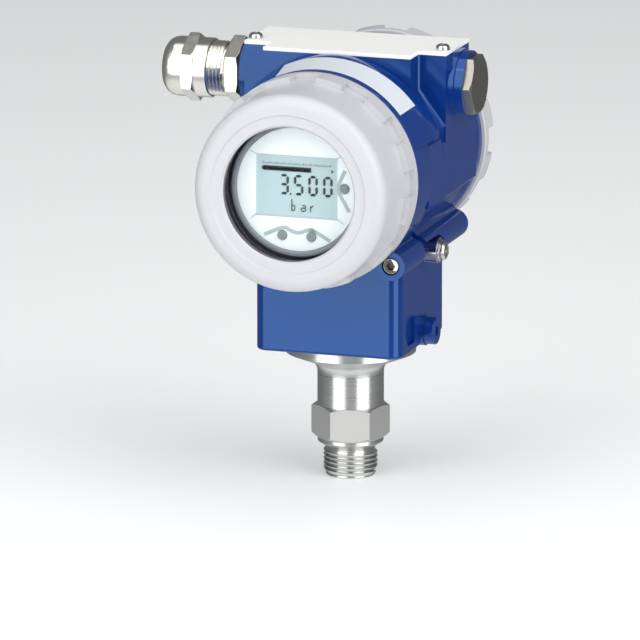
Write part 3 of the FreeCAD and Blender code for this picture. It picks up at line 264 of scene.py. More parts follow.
# Die-cast aluminium under gloss epoxy enamel: deep blue with a clear sheen and orange peel.
BLUE_ENAMEL = Finish("enamel_blue_gloss", "#0b2f76", "#0d337c", roughness=0.12, specular=1.0,
                     sheen="#9ccbff", grain_mm=2.6, grain_height_mm=0.003, roughness_spread=0.02)
# Die-cast aluminium under light grey polyester powder coat: satin, finely textured.
GREY_POWDER = Finish("powder_coat_light_grey", "#c9c9cc", "#c4c4c7", roughness=0.34,
                     grain_mm=0.8, grain_height_mm=0.005, roughness_spread=0.03)
# Sheet aluminium under white-grey powder coat, with a painted glow that lightens it.
PLATE_POWDER_GLOWING = Finish("powder_coat_white_painted_glow", "#efefec", "#eaeae7", roughness=0.36, glow=0.15,
                      grain_mm=0.7, grain_height_mm=0.008)
# Stainless 316L bar from the lathe: bright, with fine circumferential tool marks.
TURNED_STEEL = TurnedMetal("stainless_steel_turned", "#e2e2df", "#d6d6d2", roughness=0.3, metallic=1.0,
                           grain_height_mm=0.004, roughness_spread=0.08)
# Milled flats of the hexagon: a satin that spreads light more than the turned faces.
MILLED_STEEL = Finish("stainless_steel_milled_flats", "#e6e6e3", "#dcdcd8", roughness=0.6, metallic=1.0,
                      grain_mm=0.5, grain_height_mm=0.004, roughness_spread=0.04)
# Inside of a cap screw's socket: dark steel, painted shade in the hexagon recess.
SOCKET_SHADE_STEEL = Finish("stainless_steel_socket_painted_shade", "#6a675f", "#5c5952", roughness=0.45, metallic=0.8,
                      grain_mm=0.3, grain_height_mm=0.004)
# Stainless cap screws and terminal screws, tumbled: bright and slightly soft.
BRIGHT_STEEL = Finish("stainless_steel_bright", "#d6d5d2", "#c6c5c2", roughness=0.2, metallic=1.0,
                      grain_mm=0.4, grain_height_mm=0.003)
# Brass under bright nickel: mirror-like and faintly warm.
NICKEL = Finish("nickel_plated_brass", "#ebe8e1", "#dfdbd2", roughness=0.22, metallic=1.0,
                grain_mm=2.5, grain_height_mm=0.006, roughness_spread=0.04)
# Stainless plug, milled face.
PLUG_STEEL = Finish("stainless_steel_milled", "#a8a49a", "#98948a", roughness=0.32, metallic=1.0,
                    grain_mm=0.35, grain_height_mm=0.004)
# Nitrile rubber seals: black and matt.
RUBBER = Finish("nitrile_rubber", "#17171a", "#1d1d20", roughness=0.72, grain_mm=0.3,
                grain_height_mm=0.01)
# Glass of the window.
GLASS = ClearGlass("float_glass", "#f4fafa", "#eef6f6", roughness=0.02, ior=1.52, specular=0.25,
                   grain_mm=20, grain_height_mm=0.0, roughness_spread=0.0)
# Anodised aluminium ring behind the glass.
ANODISED = Finish("anodised_aluminium", "#5d5e66", "#55565e", roughness=0.42, metallic=0.6,
                  grain_mm=0.4, grain_height_mm=0.004)
# Bore in front of the glass: dark and smooth instead of the powder coat, painted shade on the bore's wall.
WINDOW_WALL_SHADE = Finish("window_wall_painted_shade", "#50515a", "#4a4b54", roughness=0.35, grain_mm=0.4,
                     grain_height_mm=0.003)
# White moulded ABS of the display's face, with a painted glow that lightens it.
WHITE_ABS_GLOWING = Finish("abs_white_painted_glow", "#eef6f8", "#e9f2f4", roughness=0.34, glow=0.14, grain_mm=0.4,
                   grain_height_mm=0.003)
# Grey moulded ABS round the display's face and its cup.
GREY_ABS = Finish("abs_grey", "#8e979e", "#868f96", roughness=0.45, grain_mm=0.4,
                  grain_height_mm=0.006)
# Silicone rubber keys.
KEY_RUBBER = Finish("silicone_keys_grey", "#8d989b", "#859093", roughness=0.55, grain_mm=0.3,
                    grain_height_mm=0.004)
# Dark glass-filled polyamide.
DARK_PA = Finish("polyamide_dark", "#2b2c30", "#323338", roughness=0.55, grain_mm=0.5,
                 grain_height_mm=0.01)
# Potting compound and terminal plastic.
GREY_PA = Finish("polyamide_grey", "#6d7276", "#656a6e", roughness=0.55, grain_mm=0.5,
                 grain_height_mm=0.01)
# Solder-masked glass-fibre board.
BOARD = Finish("circuit_board_green", "#1d5a35", "#1a5030", roughness=0.35, grain_mm=0.6,
               grain_height_mm=0.005)
# Reflective liquid-crystal glass: pale cyan, with a faint painted glow.
LCD_GLOWING = Finish("liquid_crystal_pale_painted_glow", "#bbd2d6", "#b5cfd4", roughness=0.3, specular=0.2, glow=0.04,
             drift_mm=30, grain_mm=0.3, grain_height_mm=0.0)
# Switched segments of the display.
SEGMENT = Finish("liquid_crystal_dark", "#06090a", "#040607", roughness=0.5, specular=0.1, grain_mm=0.3,
                 grain_height_mm=0.0)
# Grey lines on the display's face: painted shade of its moulded grooves and bevel creases, with a painted
# glow.
GROOVE_SHADE_LINE = Finish("groove_shade_line_grey", "#aebabc", "#a8b5b8", roughness=0.5, glow=0.1, grain_mm=0.3,
                   grain_height_mm=0.0)
# White polyester foil of the data strip.
FOIL = Finish("polyester_foil", "#d6dde2", "#d0d8de", roughness=0.34, grain_mm=0.5,
              grain_height_mm=0.003)


# ---------------------------------------------------------------------------
# Mesh tools
# ---------------------------------------------------------------------------
def link(name: str, mesh: bpy.types.Mesh) -> bpy.types.Object:
    """Put a mesh in the scene as an object at the origin.

    Args:
        name: the object's name.
        mesh: its mesh, with its place in its vertices.

    Returns:
        The new object.
    """
    piece = bpy.data.objects.new(name, mesh)
    bpy.context.scene.collection.objects.link(piece)
    return piece


def smooth(mesh: bpy.types.Mesh, angle: float = 32.0) -> None:
    """Shade a mesh smooth, with sharp edges where faces meet at more than an angle in degrees."""
    mesh.shade_smooth()
    mesh.set_sharp_from_angle(angle=math.radians(angle))


def mesh_piece(name: str, vertices: Sequence[Point], faces: Sequence[Sequence[int]],
               finish: Finish, matrix: Optional[Matrix] = None) -> bpy.types.Object:
    """Make a piece from corners in millimetres.

    Args:
        name: the piece's name.
        vertices: corners in millimetres, in the piece's own frame.
        faces: corner numbers of each face.
        finish: its finish.
        matrix: from the own frame, in millimetres, to the row's, in millimetres.

    Returns:
        The object, in metres.
    """
    mesh = bpy.data.meshes.new(name)
    turn = matrix or Matrix.Identity(4)
    mesh.from_pydata([tuple((turn @ Vector(v)) * MM) for v in vertices], [], [tuple(f) for f in faces])
    shape = bmesh.new()
    shape.from_mesh(mesh)
    bmesh.ops.remove_doubles(shape, verts=shape.verts, dist=1e-6)
    bmesh.ops.recalc_face_normals(shape, faces=shape.faces)
    shape.to_mesh(mesh)
    shape.free()
    smooth(mesh)
    mesh.materials.append(finish.build())
    return link(name, mesh)


def prism_piece(name: str, outlines: Sequence[Sequence[Tuple[float, float]]], low: float, high: float,
                finish: Finish, matrix: Matrix) -> bpy.types.Object:
    """Make flat pieces with straight walls from outlines.

    Args:
        name: the piece's name.
        outlines: closed outlines in millimetres, each convex or nearly so.
        low: where the walls start along the own Z axis.
        high: where they end.
        finish: its finish.
        matrix: from the own frame to the row's.

    Returns:
        The object.
    """
    vertices: List[Point] = []
    faces: List[List[int]] = []
    for outline in outlines:
        start, count = len(vertices), len(outline)
        vertices += [(x, y, low) for x, y in outline] + [(x, y, high) for x, y in outline]
        faces.append([start + i for i in reversed(range(count))])
        faces.append([start + count + i for i in range(count)])
        faces += [[start + i, start + (i + 1) % count, start + count + (i + 1) % count, start + count + i]
                  for i in range(count)]
    return mesh_piece(name, vertices, faces, finish, matrix)


def stroke(points: Sequence[Tuple[float, float]], width: float) -> List[List[Tuple[float, float]]]:
    """Return quads that draw a line of a given width through points, with mitred joints."""
    sides = []
    for i, (x, y) in enumerate(points):
        near = points[max(i - 1, 0)]
        far = points[min(i + 1, len(points) - 1)]
        before = Vector((x - near[0], y - near[1]))
        after = Vector((far[0] - x, far[1] - y))
        before = before.normalized() if before.length else after.normalized()
        after = after.normalized() if after.length else before
        middle = (before + after).normalized()
        across = Vector((-middle.y, middle.x))
        half = width / 2 / max(abs(middle.dot(after)), 0.5)
        sides.append(((x + across.x * half, y + across.y * half),
                      (x - across.x * half, y - across.y * half)))
    return [[a[0], a[1], b[1], b[0]] for a, b in zip(sides, sides[1:])]


def subtract(shape: bmesh.types.BMesh, tool: bpy.types.Object) -> None:
    """Cut one solid out of another.

    Args:
        shape: the solid that is cut, in place.
        tool: the solid that is taken away.
    """
    before = bpy.data.meshes.new("before_cut")
    shape.to_mesh(before)
    blank = link("blank", before)
    cut = blank.modifiers.new("cut", "BOOLEAN")
    cut.operation, cut.solver, cut.object = "DIFFERENCE", "EXACT", tool
    bpy.context.view_layer.update()
    after = bpy.data.meshes.new_from_object(blank.evaluated_get(bpy.context.evaluated_depsgraph_get()))
    shape.clear()
    shape.from_mesh(after)
    bpy.data.objects.remove(blank)
    for mesh in (before, after):
        bpy.data.meshes.remove(mesh)


class Workshop:
    """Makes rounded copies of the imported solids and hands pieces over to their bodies."""

    def __init__(self, frame: dict) -> None:
        """Keep the frame and a count of what was made."""
        self.nodes = frame["nodes"]
        self.body = {n: b for b, ns in frame["record"]["behaviour"]["bodies"].items() for n in ns}
        self.slot = {s["node"]: s["material_slot"] for s in frame["record"]["subparts"]}
        self.made = 0

    def rounded(self, node: str, finish: Finish, width: float = 0.3, segments: int = 2,
                angle: float = 28.0, change: Optional[Callable[[bmesh.types.BMesh], None]] = None,
                accent: Optional[Tuple[Finish, Callable[[Vector, Vector], bool]]] = None
                ) -> bpy.types.Object:
        """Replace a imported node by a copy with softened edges.

        Args:
            node: the node's name.
            finish: the copy's finish.
            width: width of the softened edges in millimetres, or 0 for none.
            segments: faces across each softened edge.
            angle: edges sharper than this many degrees are softened.
            change: what to do to the merged mesh before its edges are softened.
            accent: a second finish, and the test of a face's centre and normal that chooses it.

        Returns:
            The new piece.
        """
        shape = bmesh.new()
        shape.from_mesh(self.nodes[node].data)
        bmesh.ops.remove_doubles(shape, verts=shape.verts, dist=MERGE)
        bmesh.ops.dissolve_limit(shape, angle_limit=math.radians(0.6), verts=shape.verts,
                                 edges=shape.edges)
        if change is not None:
            change(shape)
        if width > 0:
            limit = math.radians(angle)
            edges = [e for e in shape.edges if len(e.link_faces) == 2 and e.calc_face_angle(0) > limit]
            bmesh.ops.bevel(shape, geom=edges, offset=width * MM, offset_type="OFFSET", segments=segments,
                            profile=0.5, affect="EDGES", clamp_overlap=True, loop_slide=True)
            bmesh.ops.remove_doubles(shape, verts=shape.verts, dist=1e-6)
        mesh = bpy.data.meshes.new(f"{node}_skin")
        shape.to_mesh(mesh)
        shape.free()
        smooth(mesh, 36)
        mesh.materials.append(finish.build())
        if accent is not None:
            mesh.materials.append(accent[0].build())
            for face in mesh.polygons:
                face.material_index = int(accent[1](face.center / MM, face.normal))
        piece = link(f"{node}_skin", mesh)
        if width > 0:
            weighted = piece.modifiers.new("even_normals", "WEIGHTED_NORMAL")
            weighted.keep_sharp = True
        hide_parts(node)
        self.hand_over(piece, self.body[node])
        return piece

    def hand_over(self, piece: bpy.types.Object, body: str) -> None:
        """Let a piece ride on a body."""
        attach(piece, body)
        self.made += 1
        LOG.info("%s on %s, %d faces", piece.name, body, len(piece.data.polygons))

    def dress(self, node: str, finish: Finish) -> None:
        """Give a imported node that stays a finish."""
        target = self.nodes[node]
        target.data.materials.clear()
        target.data.materials.append(finish.build())


# ---------------------------------------------------------------------------
# Threads
# ---------------------------------------------------------------------------
@dataclass(frozen=True)
class Thread:
    """A right-hand thread: a helical ridge along the Z axis of its own frame."""

    name: str
    root: float
    crest: float
    start: float
    end: float
    pitch: float
    facing: Facing
    place: Point
    steps: int = 72
    foot_share: float = 0.94
    crest_share: float = 0.16
    root_overlap: float = 0.1

    def tree(self) -> bpy.types.NodeTree:
        """Return the node tree that sweeps a ridge along a spiral, made once."""
        done = bpy.data.node_groups.get("thread_ridge")
        if done is not None:
            return done
        tree = bpy.data.node_groups.new("thread_ridge", "GeometryNodeTree")
        face = tree.interface
        for name, kind in (("Radius", "NodeSocketFloat"), ("Height", "NodeSocketFloat"),
                           ("Turns", "NodeSocketFloat"), ("Steps", "NodeSocketInt"),
                           ("Depth", "NodeSocketFloat"), ("Foot", "NodeSocketFloat"),
                           ("Finish", "NodeSocketMaterial")):
            face.new_socket(name, in_out="INPUT", socket_type=kind)
        face.new_socket("Geometry", in_out="OUTPUT", socket_type="NodeSocketGeometry")
        given = add_node(tree, "NodeGroupInput").outputs
        spiral = add_node(tree, "GeometryNodeCurveSpiral", None, {
            "Resolution": given["Steps"], "Rotations": given["Turns"], "Start Radius": given["Radius"],
            "End Radius": given["Radius"], "Height": given["Height"]})
        upright = add_node(tree, "GeometryNodeSetCurveNormal", {"mode": "Z_UP"}, {
            "Curve": spiral.outputs["Curve"]})
        crest = add_node(tree, "ShaderNodeMath", {"operation": "MULTIPLY"}, {
            0: given["Foot"], 1: self.crest_share})
        profile = add_node(tree, "GeometryNodeCurvePrimitiveQuadrilateral", {"mode": "TRAPEZOID"}, {
            "Height": given["Depth"], "Bottom Width": given["Foot"], "Top Width": crest.outputs[0],
            "Offset": 0.0})
        ridge = add_node(tree, "GeometryNodeCurveToMesh", None, {
            "Curve": upright.outputs["Curve"], "Profile Curve": profile.outputs["Curve"],
            "Fill Caps": True})
        real = add_node(tree, "GeometryNodeRealizeInstances", None, {"Geometry": ridge.outputs["Mesh"]})
        done = add_node(tree, "GeometryNodeSetMaterial", None, {
            "Geometry": real.outputs["Geometry"], "Material": given["Finish"]})
        add_node(tree, "NodeGroupOutput", None, {"Geometry": done.outputs["Geometry"]})
        return tree

    def build(self, shop: Workshop, finish: Finish, body: str, slot: str) -> bpy.types.Object:
        """Make the ridge as a plain mesh and hand it over.

        Args:
            shop: the workshop.
            finish: the thread's finish.
            body: the body that it rides on.
            slot: its material slot; not used.

        Returns:
            The ridge.
        """
        length = self.end - self.start
        turns = length / self.pitch
        middle = (self.root + self.crest) / 2
        mesh = grow(self.tree(), {
            "Radius": middle * MM, "Height": length * MM, "Turns": turns,
            "Steps": max(int(self.steps * turns), 8),
            "Depth": (abs(self.crest - self.root) + self.root_overlap) * MM,
            "Foot": self.pitch * self.foot_share * MM, "Finish": finish.build()})
        shift = Matrix.Translation(Vector(self.place) * MM) @ self.facing.matrix()
        mesh.transform(shift @ Matrix.Translation((0, 0, self.start * MM)))
        smooth(mesh, 40)
        mesh.materials.clear()
        mesh.materials.append(finish.build())
        piece = link(self.name, mesh)
        shop.hand_over(piece, body)
        return piece


def grow(tree: bpy.types.NodeTree, values: dict) -> bpy.types.Mesh:
    """Run a Geometry Nodes tree once and return its result as a plain mesh.

    Args:
        tree: the tree, whose inputs have names.
        values: what to put into the inputs, by name.

    Returns:
        The mesh.
    """
    carrier = link(f"{tree.name}_carrier", bpy.data.meshes.new("empty"))
    modifier = carrier.modifiers.new("grow", "NODES")
    modifier.node_group = tree
    for item in tree.interface.items_tree:
        if item.in_out == "INPUT" and item.name in values:
            modifier[item.identifier] = values[item.name]
    graph = bpy.context.evaluated_depsgraph_get()
    mesh = bpy.data.meshes.new_from_object(carrier.evaluated_get(graph), depsgraph=graph)
    carrier.modifiers.remove(modifier)
    bpy.data.objects.remove(carrier)
    return mesh


# ---------------------------------------------------------------------------
# Sub-assemblies
# ---------------------------------------------------------------------------
AXIS_HEIGHT = 128.1
# Corners of a box counted with z fastest, then y, then x.
BOX_FACES = [(0, 1, 3, 2), (4, 6, 7, 5), (0, 4, 5, 1), (2, 3, 7, 6), (0, 2, 6, 4), (1, 5, 7, 3)]


@dataclass
class ProcessConnection:
    """Turned stainless spigot with its G1/2 thread, hexagon, neck and flare."""

    crest: float = 10.48
    root: float = 9.32
    thread_end: float = 8.9
    pitch: float = 1.814
    hexagon: Tuple[float, float] = (14.3, 27.9)
    hexagon_reach: float = 13.35

    def on_hexagon(self, centre: Vector, normal: Vector) -> bool:
        """Tell whether a face is a flat of the hexagon."""
        low, high = self.hexagon
        return abs(normal.z) < 0.1 and low < centre.z < high and centre.xy.length > self.hexagon_reach

    def sink_thread(self, shape: bmesh.types.BMesh) -> None:
        """Move the plain thread cylinder in to the thread's root."""
        for vertex in shape.verts:
            reach = math.hypot(vertex.co.x, vertex.co.y) / MM
            if abs(reach - self.crest) < ON_SURFACE and vertex.co.z / MM < self.thread_end + 0.1:
                vertex.co.x *= self.root / reach
                vertex.co.y *= self.root / reach

    def build(self, shop: Workshop) -> None:
        """Make the connection, its thread and the sealed pieces inside it."""
        shop.rounded("process_connection", TURNED_STEEL, 0.18, change=self.sink_thread,
                     accent=(MILLED_STEEL, self.on_hexagon))
        Thread("process_thread_ridge", self.root, self.crest, 0.3, self.thread_end - 0.4, self.pitch,
               Facing.UP, (0, 0, 0), 96).build(shop, TURNED_STEEL, "process_connection", "stainless")
        shop.dress("sensor_capsule", BRIGHT_STEEL)
        shop.dress("neck_oring", RUBBER)


@dataclass
class Housing:
    """Blue casting with its plate, screws, earth terminal and blanking plug."""

    strip_start: float = -25.0
    strip_end: float = 52.0
    strip_low: Tuple[float, float] = (-40.6, 41.90)
    strip_high: Tuple[float, float] = (-26.6, 43.94)
    strip_thickness: float = 0.12
    relief_low: Point = (32.2, -20.0, 86.4)
    relief_high: Point = (42.0, -2.2, 98.8)
    fillet_root: float = -8.0
    fillet_width: float = 1.8
    fillet_keeps: float = 0.5
    crown_sides: Tuple[float, float] = (30.3, 40.0)
    lock_place: Tuple[float, float] = (31.78, 95.54)
    socket_reach: float = 1.9

    def open_relief(self, shape: bmesh.types.BMesh) -> None:
        """Cut the rear rib away in front of the earth terminal."""
        low, high = self.relief_low, self.relief_high
        corners = [(x, y, z) for x in (low[0], high[0]) for y in (low[1], high[1])
                   for z in (low[2], high[2])]
        box = mesh_piece("relief", corners, BOX_FACES, BLUE_ENAMEL)
        subtract(shape, box)
        bpy.data.objects.remove(box)

    def in_socket(self, centre: Vector, normal: Vector) -> bool:
        """Tell whether a face belongs to the hexagon socket of a cover's lock screw, which is painted dark
        as shade.
        """
        across, rise = self.lock_place
        return math.hypot(centre.x - across, centre.z - rise) < self.socket_reach

    def slim_fillet(self, shape: bmesh.types.BMesh) -> None:
        """Draw the fillet between the crown and its tabs in to a fine line."""
        excess = self.fillet_width - self.fillet_keeps
        for vertex in shape.verts:
            x, y, z = vertex.co / MM
            for side in self.crown_sides:
                if abs(y - self.fillet_root) < 0.03 and abs(abs(x) - side - self.fillet_width) < 0.03:
                    vertex.co.x = math.copysign(abs(x) - excess, x) * MM
                if abs(y - self.fillet_root + self.fillet_width) < 0.03 and abs(abs(x) - side) < 0.03:
                    vertex.co.y = (y + excess) * MM
        bmesh.ops.remove_doubles(shape, verts=shape.verts, dist=2e-5)
        bmesh.ops.dissolve_degenerate(shape, edges=shape.edges, dist=1e-5)

    def shape_up(self, shape: bmesh.types.BMesh) -> None:
        """Make both changes to the casting."""
        self.slim_fillet(shape)
        self.open_relief(shape)

    def build(self, shop: Workshop) -> None:
        """Dress every piece that is screwed into or cast with the housing."""
        shop.rounded("housing", BLUE_ENAMEL, 0.7, 3, 30, self.shape_up)
        shop.rounded("top_plate", PLATE_POWDER_GLOWING, 0.25)
        for name in ("plate_screw_left", "plate_screw_right", "earth_screw"):
            shop.rounded(name, BRIGHT_STEEL, 0.12)
        for name in ("front_lock_screw", "rear_lock_screw"):
            # The socket faces take the dark finish: painted shade in the hexagon recess.
            shop.rounded(name, BRIGHT_STEEL, 0.15, accent=(SOCKET_SHADE_STEEL, self.in_socket))
        for name in ("earth_clamp", "earth_washer"):
            shop.rounded(name, BRIGHT_STEEL, 0.15)
        shop.rounded("neck_lock_screw", BLUE_ENAMEL, 0.25)
        shop.rounded("blind_plug", PLUG_STEEL, 0.25)
        for name in ("plug_seal", "gland_oring"):
            shop.dress(name, RUBBER)
        self.data_strip(shop)

    def data_strip(self, shop: Workshop) -> None:
        """Lay the bare foil strip on the cone round the front flange."""
        steps = 60
        vertices: List[Point] = []
        faces: List[List[int]] = []
        for i in range(steps + 1):
            angle = math.radians(self.strip_start + (self.strip_end - self.strip_start) * i / steps)
            for (along, reach), lift in ((self.strip_low, 0.03), (self.strip_high, 0.03),
                                         (self.strip_high, self.strip_thickness),
                                         (self.strip_low, self.strip_thickness)):
                far = reach + lift
                vertices.append((far * math.sin(angle), along, AXIS_HEIGHT + far * math.cos(angle)))
        for i in range(steps):
            for j in range(4):
                a, b = i * 4 + j, i * 4 + (j + 1) % 4
                faces.append([a, b, b + 4, a + 4])
        faces += [[0, 1, 2, 3], [steps * 4 + j for j in (3, 2, 1, 0)]]
        piece = mesh_piece("data_strip", vertices, faces, FOIL)
        shop.hand_over(piece, "housing")


@dataclass
class Covers:
    """Window cover and rear cover with their threads, seals and glass."""

    crest: float = 36.2
    root: float = 35.2
    pitch: float = 2.0
    window: float = 26.5

    def on_window_wall(self, centre: Vector, normal: Vector) -> bool:
        """Tell whether a face belongs to the bore in front of the glass, which is painted dark as shade."""
        reach = math.hypot(centre.x, centre.z - AXIS_HEIGHT)
        return reach < self.window + 0.2 and abs(normal.y) < 0.5

    def sink(self, facing_sign: float, end: float) -> Callable[[bmesh.types.BMesh], None]:
        """Return a change that moves a cover's thread cylinder in to its root.

        Args:
            facing_sign: the side of the cover along Y.
            end: distance up to which the cylinder counts.

        Returns:
            The change.
        """
        def change(shape: bmesh.types.BMesh) -> None:
            for vertex in shape.verts:
                height = vertex.co.z / MM - AXIS_HEIGHT
                reach = math.hypot(vertex.co.x / MM, height)
                if abs(reach - self.crest) < ON_SURFACE and vertex.co.y / MM * facing_sign < end:
                    factor = self.root / reach
                    vertex.co.x *= factor
                    vertex.co.z = (AXIS_HEIGHT + height * factor) * MM
        return change

    def build(self, shop: Workshop) -> None:
        """Dress both covers."""
        # The bore's faces take the dark finish: painted shade inside the window.
        shop.rounded("front_cover", GREY_POWDER, 0.55, 3, 24, self.sink(-1, 42.0),
                     accent=(WINDOW_WALL_SHADE, self.on_window_wall))
        shop.rounded("rear_cover", GREY_POWDER, 0.55, 3, 24, self.sink(1, 41.5))
        Thread("front_cover_thread", self.root, self.crest, 34.9, 41.4, self.pitch, Facing.FRONT,
               (0, 0, AXIS_HEIGHT), 120).build(shop, GREY_POWDER, "front_cover", "grey_paint")
        Thread("rear_cover_thread", self.root, self.crest, 34.4, 40.9, self.pitch, Facing.REAR,
               (0, 0, AXIS_HEIGHT), 120).build(shop, GREY_POWDER, "rear_cover", "grey_paint")
        shop.rounded("window_glass", GLASS, 0.3)
        shop.rounded("glass_retaining_ring", ANODISED, 0.2)
        shop.dress("glass_gasket", RUBBER)
        shop.dress("front_cover_oring", RUBBER)
        shop.dress("rear_cover_oring", RUBBER)


@dataclass
class Display:
    """Round display unit: cup, face with grey lines painted as the shade of its moulded grooves, liquid
    crystal and keys.
    """

    face: float = 68.4
    glass: float = 68.0
    left: float = -16.4
    top: float = 12.9
    line_width: float = 1.5
    thin_line: float = 0.35
    digit_stroke: float = 1.02
    digit_gap: float = 0.08
    digit_width: float = 3.9
    digit_height: float = 8.1
    unit_stroke: float = 0.46
    tick_width: float = 0.24
    tick_depth: float = 0.05
    tick_start: float = 2.65
    tick_foot: float = 3.35
    segments: Dict[str, str] = field(default_factory=lambda: {
        "3": "abcdg", "5": "acdfg", "0": "abcdef"})

    def matrix(self) -> Matrix:
        """Return the turn from the display's own frame to the row's, in millimetres."""
        return Matrix.Translation((0, 0, AXIS_HEIGHT)) @ Facing.FRONT.matrix()

    def digit(self, sign: str, x: float, top: float, width: float, height: float
              ) -> List[List[Tuple[float, float]]]:
        """Return the outlines of a seven-segment digit.

        Args:
            sign: the digit.
            x: its left side on the liquid crystal, from the crystal's left edge.
            top: its top, from the crystal's top edge, downwards.
            width: its width.
            height: its height.

        Returns:
            One outline for each switched segment.
        """
        thick, gap = self.digit_stroke, self.digit_gap
        left, right = self.left + x, self.left + x + width
        high, low = self.top - top, self.top - top - height
        middle = (high + low) / 2
        half = thick / 2

        def bar(x0: float, y0: float, x1: float, y1: float) -> List[Tuple[float, float]]:
            """Return a pointed bar between two points."""
            run = Vector((x1 - x0, y1 - y0)).normalized()
            side = Vector((-run.y, run.x)) * half
            a = Vector((x0, y0)) + run * (gap + half * 0.3)
            b = Vector((x1, y1)) - run * (gap + half * 0.3)
            corners = [a, a + run * half + side, b - run * half + side, b, b - run * half - side,
                       a + run * half - side]
            return [(c.x, c.y) for c in corners]

        ends = {
            "a": (left + half, high - half, right - half, high - half),
            "b": (right - half, high - half, right - half, middle),
            "c": (right - half, middle, right - half, low + half),
            "d": (left + half, low + half, right - half, low + half),
            "e": (left + half, middle, left + half, low + half),
            "f": (left + half, high - half, left + half, middle),
            "g": (left + half, middle, right - half, middle),
        }
        return [bar(*ends[name]) for name in self.segments[sign]]

    def reading(self) -> List[List[Tuple[float, float]]]:
        """Return the outlines of the reading, its unit and the bar above them."""
        at = lambda x, y: (self.left + x, self.top - y)
        shapes: List[List[Tuple[float, float]]] = []
        for sign, x in (("3", 9.2), ("5", 15.1), ("0", 20.95), ("0", 26.95)):
            shapes += self.digit(sign, x, 7.2, self.digit_width, self.digit_height)
        shapes.append([at(13.4, 15.3), at(14.15, 15.3), at(14.15, 14.6), at(13.4, 14.6)])
        shapes.append([at(1.9, 5.1), at(2.7, 6.05), at(22.2, 6.05), at(22.2, 4.15), at(2.7, 4.15)])
        shapes.append([at(30.3, 4.3), at(30.3, 5.9), at(31.3, 5.1)])
        strokes = [
            [(14.3, 16.9), (14.3, 21.5)], [(14.4, 19.2), (15.2, 19.4)], [(15.2, 19.4), (15.7, 20.2)],
            [(15.6, 20.4), (15.2, 21.4)], [(14.4, 21.4), (15.1, 21.4)],
            [(18.6, 19.2), (19.7, 19.2)], [(19.8, 19.3), (19.8, 21.4)], [(18.1, 20.2), (18.1, 21.2)],
            [(18.2, 21.4), (19.6, 21.4)], [(18.3, 20.2), (19.6, 20.2)],
            [(21.9, 19.3), (21.9, 21.5)], [(22.0, 19.9), (22.9, 19.1)],
        ]
        for line in strokes:
            shapes += stroke([at(x, y) for x, y in line], self.unit_stroke)
        return shapes

    def scale_tree(self) -> bpy.types.NodeTree:
        """Return the node tree that sets a row of upright ticks."""
        tree = bpy.data.node_groups.new("tick_row", "GeometryNodeTree")
        face = tree.interface
        for name, kind in (("Count", "NodeSocketInt"), ("Step", "NodeSocketFloat"),
                           ("Size", "NodeSocketVector"), ("Finish", "NodeSocketMaterial")):
            face.new_socket(name, in_out="INPUT", socket_type=kind)
        face.new_socket("Geometry", in_out="OUTPUT", socket_type="NodeSocketGeometry")
        given = add_node(tree, "NodeGroupInput").outputs
        offset = add_node(tree, "ShaderNodeCombineXYZ", None, {"X": given["Step"]})
        row = add_node(tree, "GeometryNodeMeshLine", {"mode": "OFFSET"}, {
            "Count": given["Count"], "Offset": offset.outputs[0]})
        tick = add_node(tree, "GeometryNodeMeshCube", None, {"Size": given["Size"]})
        ticks = add_node(tree, "GeometryNodeInstanceOnPoints", None, {
            "Points": row.outputs["Mesh"], "Instance": tick.outputs["Mesh"]})
        real = add_node(tree, "GeometryNodeRealizeInstances", None, {
            "Geometry": ticks.outputs["Instances"]})
        dressed = add_node(tree, "GeometryNodeSetMaterial", None, {
            "Geometry": real.outputs["Geometry"], "Material": given["Finish"]})
        add_node(tree, "NodeGroupOutput", None, {"Geometry": dressed.outputs["Geometry"]})
        return tree

    def ticks(self, shop: Workshop) -> None:
        """Set the long and short ticks of the bar's scale."""
        tree = self.scale_tree()
        place = self.matrix()
        for name, count, step, height in (("scale_ticks_long", 11, 2.74, 0.9),
                                          ("scale_ticks_short", 51, 0.548, 0.4)):
            mesh = grow(tree, {"Count": count, "Step": step * MM,
                               "Size": (self.tick_width * MM, height * MM, self.tick_depth * MM),
                               "Finish": SEGMENT.build()})
            corner = Vector((self.left + self.tick_start, self.top - self.tick_foot + height / 2,
                             self.glass + self.tick_depth)) * MM
            in_metres = Matrix.Translation(place.translation * MM) @ place.to_3x3().to_4x4()
            mesh.transform(in_metres @ Matrix.Translation(corner))
            mesh.materials.clear()
            mesh.materials.append(SEGMENT.build())
            piece = link(name, mesh)
            shop.hand_over(piece, "display")

    def build(self, shop: Workshop) -> None:
        """Dress the display and print its reading."""
        place = self.matrix()
        shop.rounded("display_housing", GREY_ABS, 0.25)
        shop.rounded("display_faceplate", WHITE_ABS_GLOWING, 0.12)
        shop.dress("lcd_panel", LCD_GLOWING)
        shop.dress("display_board", BOARD)
        for name in ("left", "right", "side"):
            shop.rounded(f"button_{name}", KEY_RUBBER, 0.2)
        piece = prism_piece("reading", self.reading(), self.glass + 0.02, self.glass + 0.07, SEGMENT, place)
        shop.hand_over(piece, "display")
        wave = [(-13.2, -18.6), (-9.5, -16.9), (-6.2, -15.4), (-4.6, -15.3), (-2.0, -16.6), (0.0, -17.1),
                (2.0, -16.8), (4.6, -15.7), (6.2, -15.7), (9.5, -17.3), (13.6, -19.6)]
        bend = [(19.6, 8.6), (17.3, 3.6), (17.0, 1.4), (17.3, -0.6), (21.4, -7.6)]
        corners = [(-16.6, 13.1), (16.6, 13.1), (16.6, -10.7), (-16.6, -10.7)]
        outer = [(-19.0, 14.5), (18.2, 14.3), (19.0, -12.6), (-18.6, -12.6)]
        lines = stroke(wave, self.line_width) + stroke(bend, self.line_width)
        for near, far in zip(corners, outer):
            lines += stroke([near, far], self.thin_line)
        lines += stroke([corners[0], corners[1]], 0.3) + stroke([(-17.0, -10.9), (17.0, -10.9)], 0.5)
